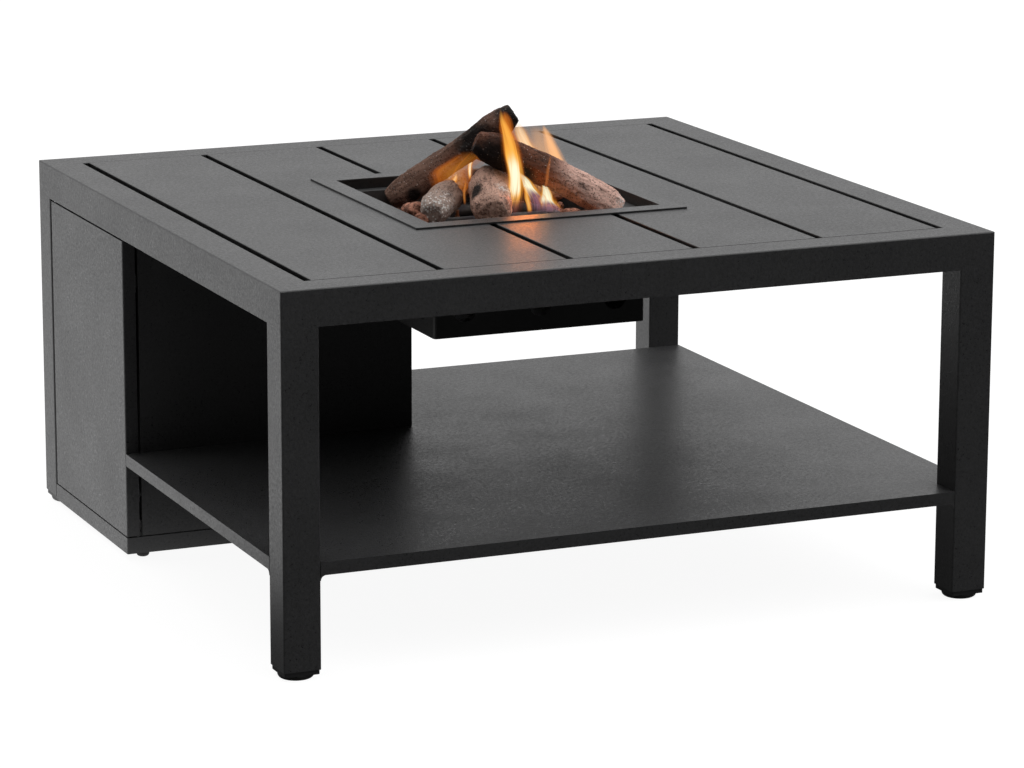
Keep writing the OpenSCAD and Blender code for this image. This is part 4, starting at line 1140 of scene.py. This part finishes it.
# Flame tongues. A spine has points from the root up, with the width there, in millimetres. Heat runs
# from red to white, cool is the share of the height where the white ends, density is how much it
# hides, pale turns it salmon, cone is the height of the violet inner cone, hollow clears its middle,
# and depth is its thickness as a share of its width.
PLAIN_FLAME = {"cool": 1.0, "pale": 0.0, "cone": 0.0, "hollow": 0.0, "depth": 1.0}
FLAMES = {
    "main_flame": {
        "spine": ((-17, -92, 486, 36), (-14, -92, 510, 35), (-12, -92, 529, 32), (-11, -92, 547, 31),
                  (-12, -91, 565, 32), (-14, -86, 583, 29), (-15, -72, 599, 22), (-12, -50, 612, 13),
                  (-6, -30, 624, 3)),
        "heat": 1.0, "cool": 0.48, "density": 1.0, "cone": 0.1, "depth": 0.9},
    "top_veil": {
        "spine": ((-2, -70, 572, 16), (-3, -58, 588, 24), (-4, -47, 604, 22), (-3, -36, 622, 8)),
        "heat": 0.12, "density": 0.8, "depth": 0.6},
    "second_flame": {
        "spine": ((25, -90, 488, 31), (21, -90, 507, 30), (13, -90, 522, 26), (4, -90, 535, 18),
                  (-8, -90, 549, 2)),
        "heat": 1.25, "density": 1.0, "cone": 0.5, "hollow": 0.1, "depth": 0.7},
    "inner_flame": {
        "spine": ((11, -92, 488, 10), (8, -92, 508, 11), (3, -92, 528, 4)),
        "heat": 0.5, "cool": 0.9, "density": 0.6, "cone": 0.1},
    "third_flame": {
        "spine": ((43, -86, 486, 36), (42, -86, 497, 33), (39, -86, 511, 26), (32, -86, 532, 2)),
        "heat": 1.2, "density": 1.0, "cone": 0.5, "hollow": 0.1, "depth": 0.7},
    "right_wisp": {
        "spine": ((27, -106, 520, 5), (30, -107, 538, 7), (32, -108, 555, 6), (35, -108, 572, 1)),
        "heat": 0.05, "density": 0.25, "pale": 0.15},
    "left_sheet": {
        "spine": ((-72, -8, 503, 54), (-71, -13, 527, 64), (-63, -19, 547, 66), (-45, -27, 568, 46)),
        "heat": 0.18, "density": 0.8, "hollow": 0.5, "depth": 0.1},
    "left_tongue": {
        "spine": ((-31, 18, 518, 6), (-31, 18, 534, 8), (-28, 18, 546, 7), (-20, 18, 557, 2)),
        "heat": 1.0, "density": 0.95, "pale": 0.1},
    "small_tongue": {
        "spine": ((-63, 10, 504, 14), (-60, 10, 514, 15), (-57, 10, 522, 11), (-54, 10, 531, 2)),
        "heat": 0.7, "density": 0.95, "pale": 0.15},
    "front_lick": {
        "spine": ((-71, -60, 500, 4), (-72, -60, 512, 6), (-71, -60, 523, 5), (-69, -60, 537, 1)),
        "heat": 0.2, "density": 0.3, "pale": 0.1},
    "back_flame": {
        "spine": ((75, 12, 490, 22), (69, 12, 525, 28), (60, 12, 551, 30), (49, 12, 570, 28),
                  (41, 12, 584, 22), (38, 12, 598, 6)),
        "heat": 0.9, "density": 0.85, "pale": 0.6, "depth": 0.7},
    "back_side_flame": {
        "spine": ((110, 12, 490, 24), (105, 12, 518, 30), (99, 12, 536, 30), (94, 12, 551, 25),
                  (86, 12, 567, 18), (80, 12, 580, 11), (76, 12, 591, 2)),
        "heat": 0.6, "density": 0.85, "pale": 0.85, "depth": 0.7},
    "back_haze": {
        "spine": ((84, 12, 488, 50), (82, 12, 528, 66), (74, 12, 560, 62), (62, 12, 592, 40)),
        "heat": 0.3, "density": 0.38, "pale": 0.8, "hollow": 0.2, "depth": 0.8},
}
# The sheets of a flame lie across these directions, the first one square to the photograph's view
SHEET_TURNS = (-0.41, 0.64, 1.69)
SHEET_STRENGTHS = (1.0, 0.4, 0.4)


class FIREPIT_OT_flames(bpy.types.Operator):
    """Tongues of flame, each of three thin sheets that cross"""

    bl_idname = "firepit.flames"
    bl_label = "Flames"
    bl_options = {"REGISTER", "UNDO"}

    def execute(self, context):
        settings = context.scene.fire_pit.flames
        for name, special in FLAMES.items():
            flame = {**PLAIN_FLAME, **special}
            shares = (1.0, flame["depth"], flame["depth"])
            sheets = []
            for turn, share, strength in zip(SHEET_TURNS, shares, SHEET_STRENGTHS):
                sheets.append(self.sheet(flame["spine"], turn, share))
                self.set_strength(sheets[-1], strength)
            finish_piece(join(sheets), name, "frame", self.fire(name, settings, flame))
        return {"FINISHED"}

    def sheet(self, spine, turn, share):
        """A thin sheet along the middle line of a flame, its width across a turned direction"""
        deselect_all()
        bpy.ops.mesh.primitive_grid_add(x_subdivisions=12, y_subdivisions=36, size=1)
        sheet = bpy.context.object
        across = Vector((math.cos(turn), math.sin(turn), 0))
        for vertex in sheet.data.vertices:
            side, rise = vertex.co.x * 2, vertex.co.y + 0.5
            middle_line, width = self.along(spine, rise)
            billow = math.sin(3.1 * rise * math.pi + turn) * 0.06 * width
            vertex.co = (middle_line + across * share * (side * width / 2 + billow)) * MM
        smooth(sheet, 180)
        return sheet

    def set_strength(self, sheet, strength):
        """Marks how much of a flame's glow a sheet carries"""
        marks = sheet.data.attributes.new("strength", "FLOAT", "POINT")
        marks.data.foreach_set("value", [strength] * len(sheet.data.vertices))

    def along(self, spine, share):
        """The middle line and the width of a flame at a share of its height, on a smooth curve"""
        steps = len(spine) - 1
        i = min(int(share * steps), steps - 1)
        t = share * steps - i
        before, here = Vector(spine[max(i - 1, 0)]), Vector(spine[i])
        there, after = Vector(spine[i + 1]), Vector(spine[min(i + 2, steps)])
        slope_here, slope_there = (there - before) / 2, (after - here) / 2
        at = (here * (2 * t**3 - 3 * t**2 + 1) + slope_here * (t**3 - 2 * t**2 + t)
              + there * (3 * t**2 - 2 * t**3) + slope_there * (t**3 - t**2))
        return at.xyz, max(at.w, 0.5)

    def drawn_noise(self, tree, flat, name, stretch):
        """Noise drawn out along a flame, different on each one"""
        shift = sum(map(ord, name)) % 17
        drawn = add_node(tree, "Mapping", {"Vector": flat, "Location": (shift, 0, 0),
                                           "Scale": stretch}).outputs[0]
        return add_node(tree, "TexNoise", {"Vector": drawn, "Scale": 2.0, "Detail": 4.0,
                                           "Distortion": 0.5}).outputs["Fac"]

    def fire(self, name, settings, flame):
        """Glow that is clear at its edges and top, white-hot inside, with a violet inner cone"""
        material, tree, shader = new_material(name, Roughness=1.0, Specular_IOR_Level=0.0,
                                              Emission_Strength=settings.strength)
        shader.inputs["Base Color"].default_value = rgba((0, 0, 0))
        flat = add_node(tree, "TexCoord").outputs["UV"]
        axes = add_node(tree, "SeparateXYZ", {0: flat}).outputs
        rise = axes[1]
        span = maths(tree, "ABSOLUTE", minus(tree, times(tree, axes[0], 2), 1))
        streaks = self.drawn_noise(tree, flat, name, (3.0, 0.8, 1.0))
        wisps = times(tree, minus(tree, streaks, 0.5), 0.8)
        depth = minus(tree, minus(tree, 1.0, span), wisps)
        low = smooth_step(tree, rise, 0.36, 0.08)
        comb = smooth_step(tree, self.drawn_noise(tree, flat, name, (9.0, 0.35, 1.0)), 0.58, 0.40)
        streaked = minus(tree, 1.0, times(tree, times(tree, low, comb), 0.85))
        thinning = times(tree, smooth_step(tree, rise, 1.0, 0.8),
                         smooth_step(tree, rise, 1.0, 0.5, 0.55, 1.0))
        rooting = smooth_step(tree, rise, 0.0, 0.18, 0.06, 1.0)
        rimmed = smooth_step(tree, span, 0.25, 0.75, 1.0 - flame["hollow"], 1.0)
        alpha = times(tree, smooth_step(tree, depth, 0.0, 0.75), flame["density"])
        strength = add_node(tree, "Attribute", attribute_name="strength").outputs["Fac"]
        for share in (streaked, thinning, rooting, rimmed, strength):
            alpha = times(tree, alpha, share, clamp=True)
        cool = flame["cool"]
        burning = times(tree, smooth_step(tree, rise, 0.02, 0.24),
                        smooth_step(tree, rise, cool + 0.14, cool - 0.14, 0.42, 1.0))
        inner = smooth_step(tree, depth, 0.10, 0.95)
        warmth = times(tree, times(tree, inner, flame["heat"]), burning)
        warm = smooth_step(tree, warmth, 0.02, 0.42)
        hot = smooth_step(tree, warmth, 0.38, 0.95)
        glow = mix_colour(tree, warm, rgba(settings.rim), rgba(settings.body))
        glow = mix_colour(tree, hot, glow, rgba(settings.core))
        glow = mix_colour(tree, flame["pale"], glow, rgba(settings.pale))
        if flame["cone"]:
            bulge = minus(tree, 1.0, times(tree, span, span))
            above = minus(tree, rise, times(tree, bulge, flame["cone"]))
            cone = smooth_step(tree, above, 0.08, -0.16)
            glow = mix_colour(tree, cone, glow, rgba(settings.base))
            clear = minus(tree, 1.0, times(tree, cone, 0.5))
            alpha = times(tree, alpha, clear)
        tree.links.new(glow, shader.inputs["Emission Color"])
        tree.links.new(alpha, shader.inputs["Alpha"])
        return material


OPERATORS = (
    FIREPIT_OT_stage, FIREPIT_OT_coated_frame, FIREPIT_OT_burner, FIREPIT_OT_feet,
    FIREPIT_OT_door_fittings, FIREPIT_OT_controls, FIREPIT_OT_ceramic_logs, FIREPIT_OT_lava_bed,
    FIREPIT_OT_flames,
)


class FIREPIT_PT_sidebar(bpy.types.Panel):
    """Settings and operators of the fire pit table"""

    bl_idname = "FIREPIT_PT_sidebar"
    bl_label = "Fire Pit Table"
    bl_space_type = "VIEW_3D"
    bl_region_type = "UI"
    bl_category = "Fire Pit"

    def draw(self, context):
        settings = context.scene.fire_pit
        for group in ("stage", "coat", "logs", "flames"):
            box = self.layout.box()
            box.label(text=group.capitalize())
            values = getattr(settings, group)
            for name in type(values).__annotations__:
                box.prop(values, name)
        for kind in OPERATORS:
            self.layout.operator(kind.bl_idname)


CLASSES = (
    StageSettings, CoatSettings, LogSettings, FlameSettings, FirePitSettings,
    *OPERATORS, FIREPIT_PT_sidebar,
)


def register():
    for kind in CLASSES:
        bpy.utils.register_class(kind)
    bpy.types.Scene.fire_pit = PointerProperty(type=FirePitSettings)


def unregister():
    del bpy.types.Scene.fire_pit
    for kind in reversed(CLASSES):
        bpy.utils.unregister_class(kind)


def main():
    register()
    for kind in OPERATORS:
        group, name = kind.bl_idname.split(".")
        getattr(getattr(bpy.ops, group), name)()


if __name__ == "__main__":
    main()
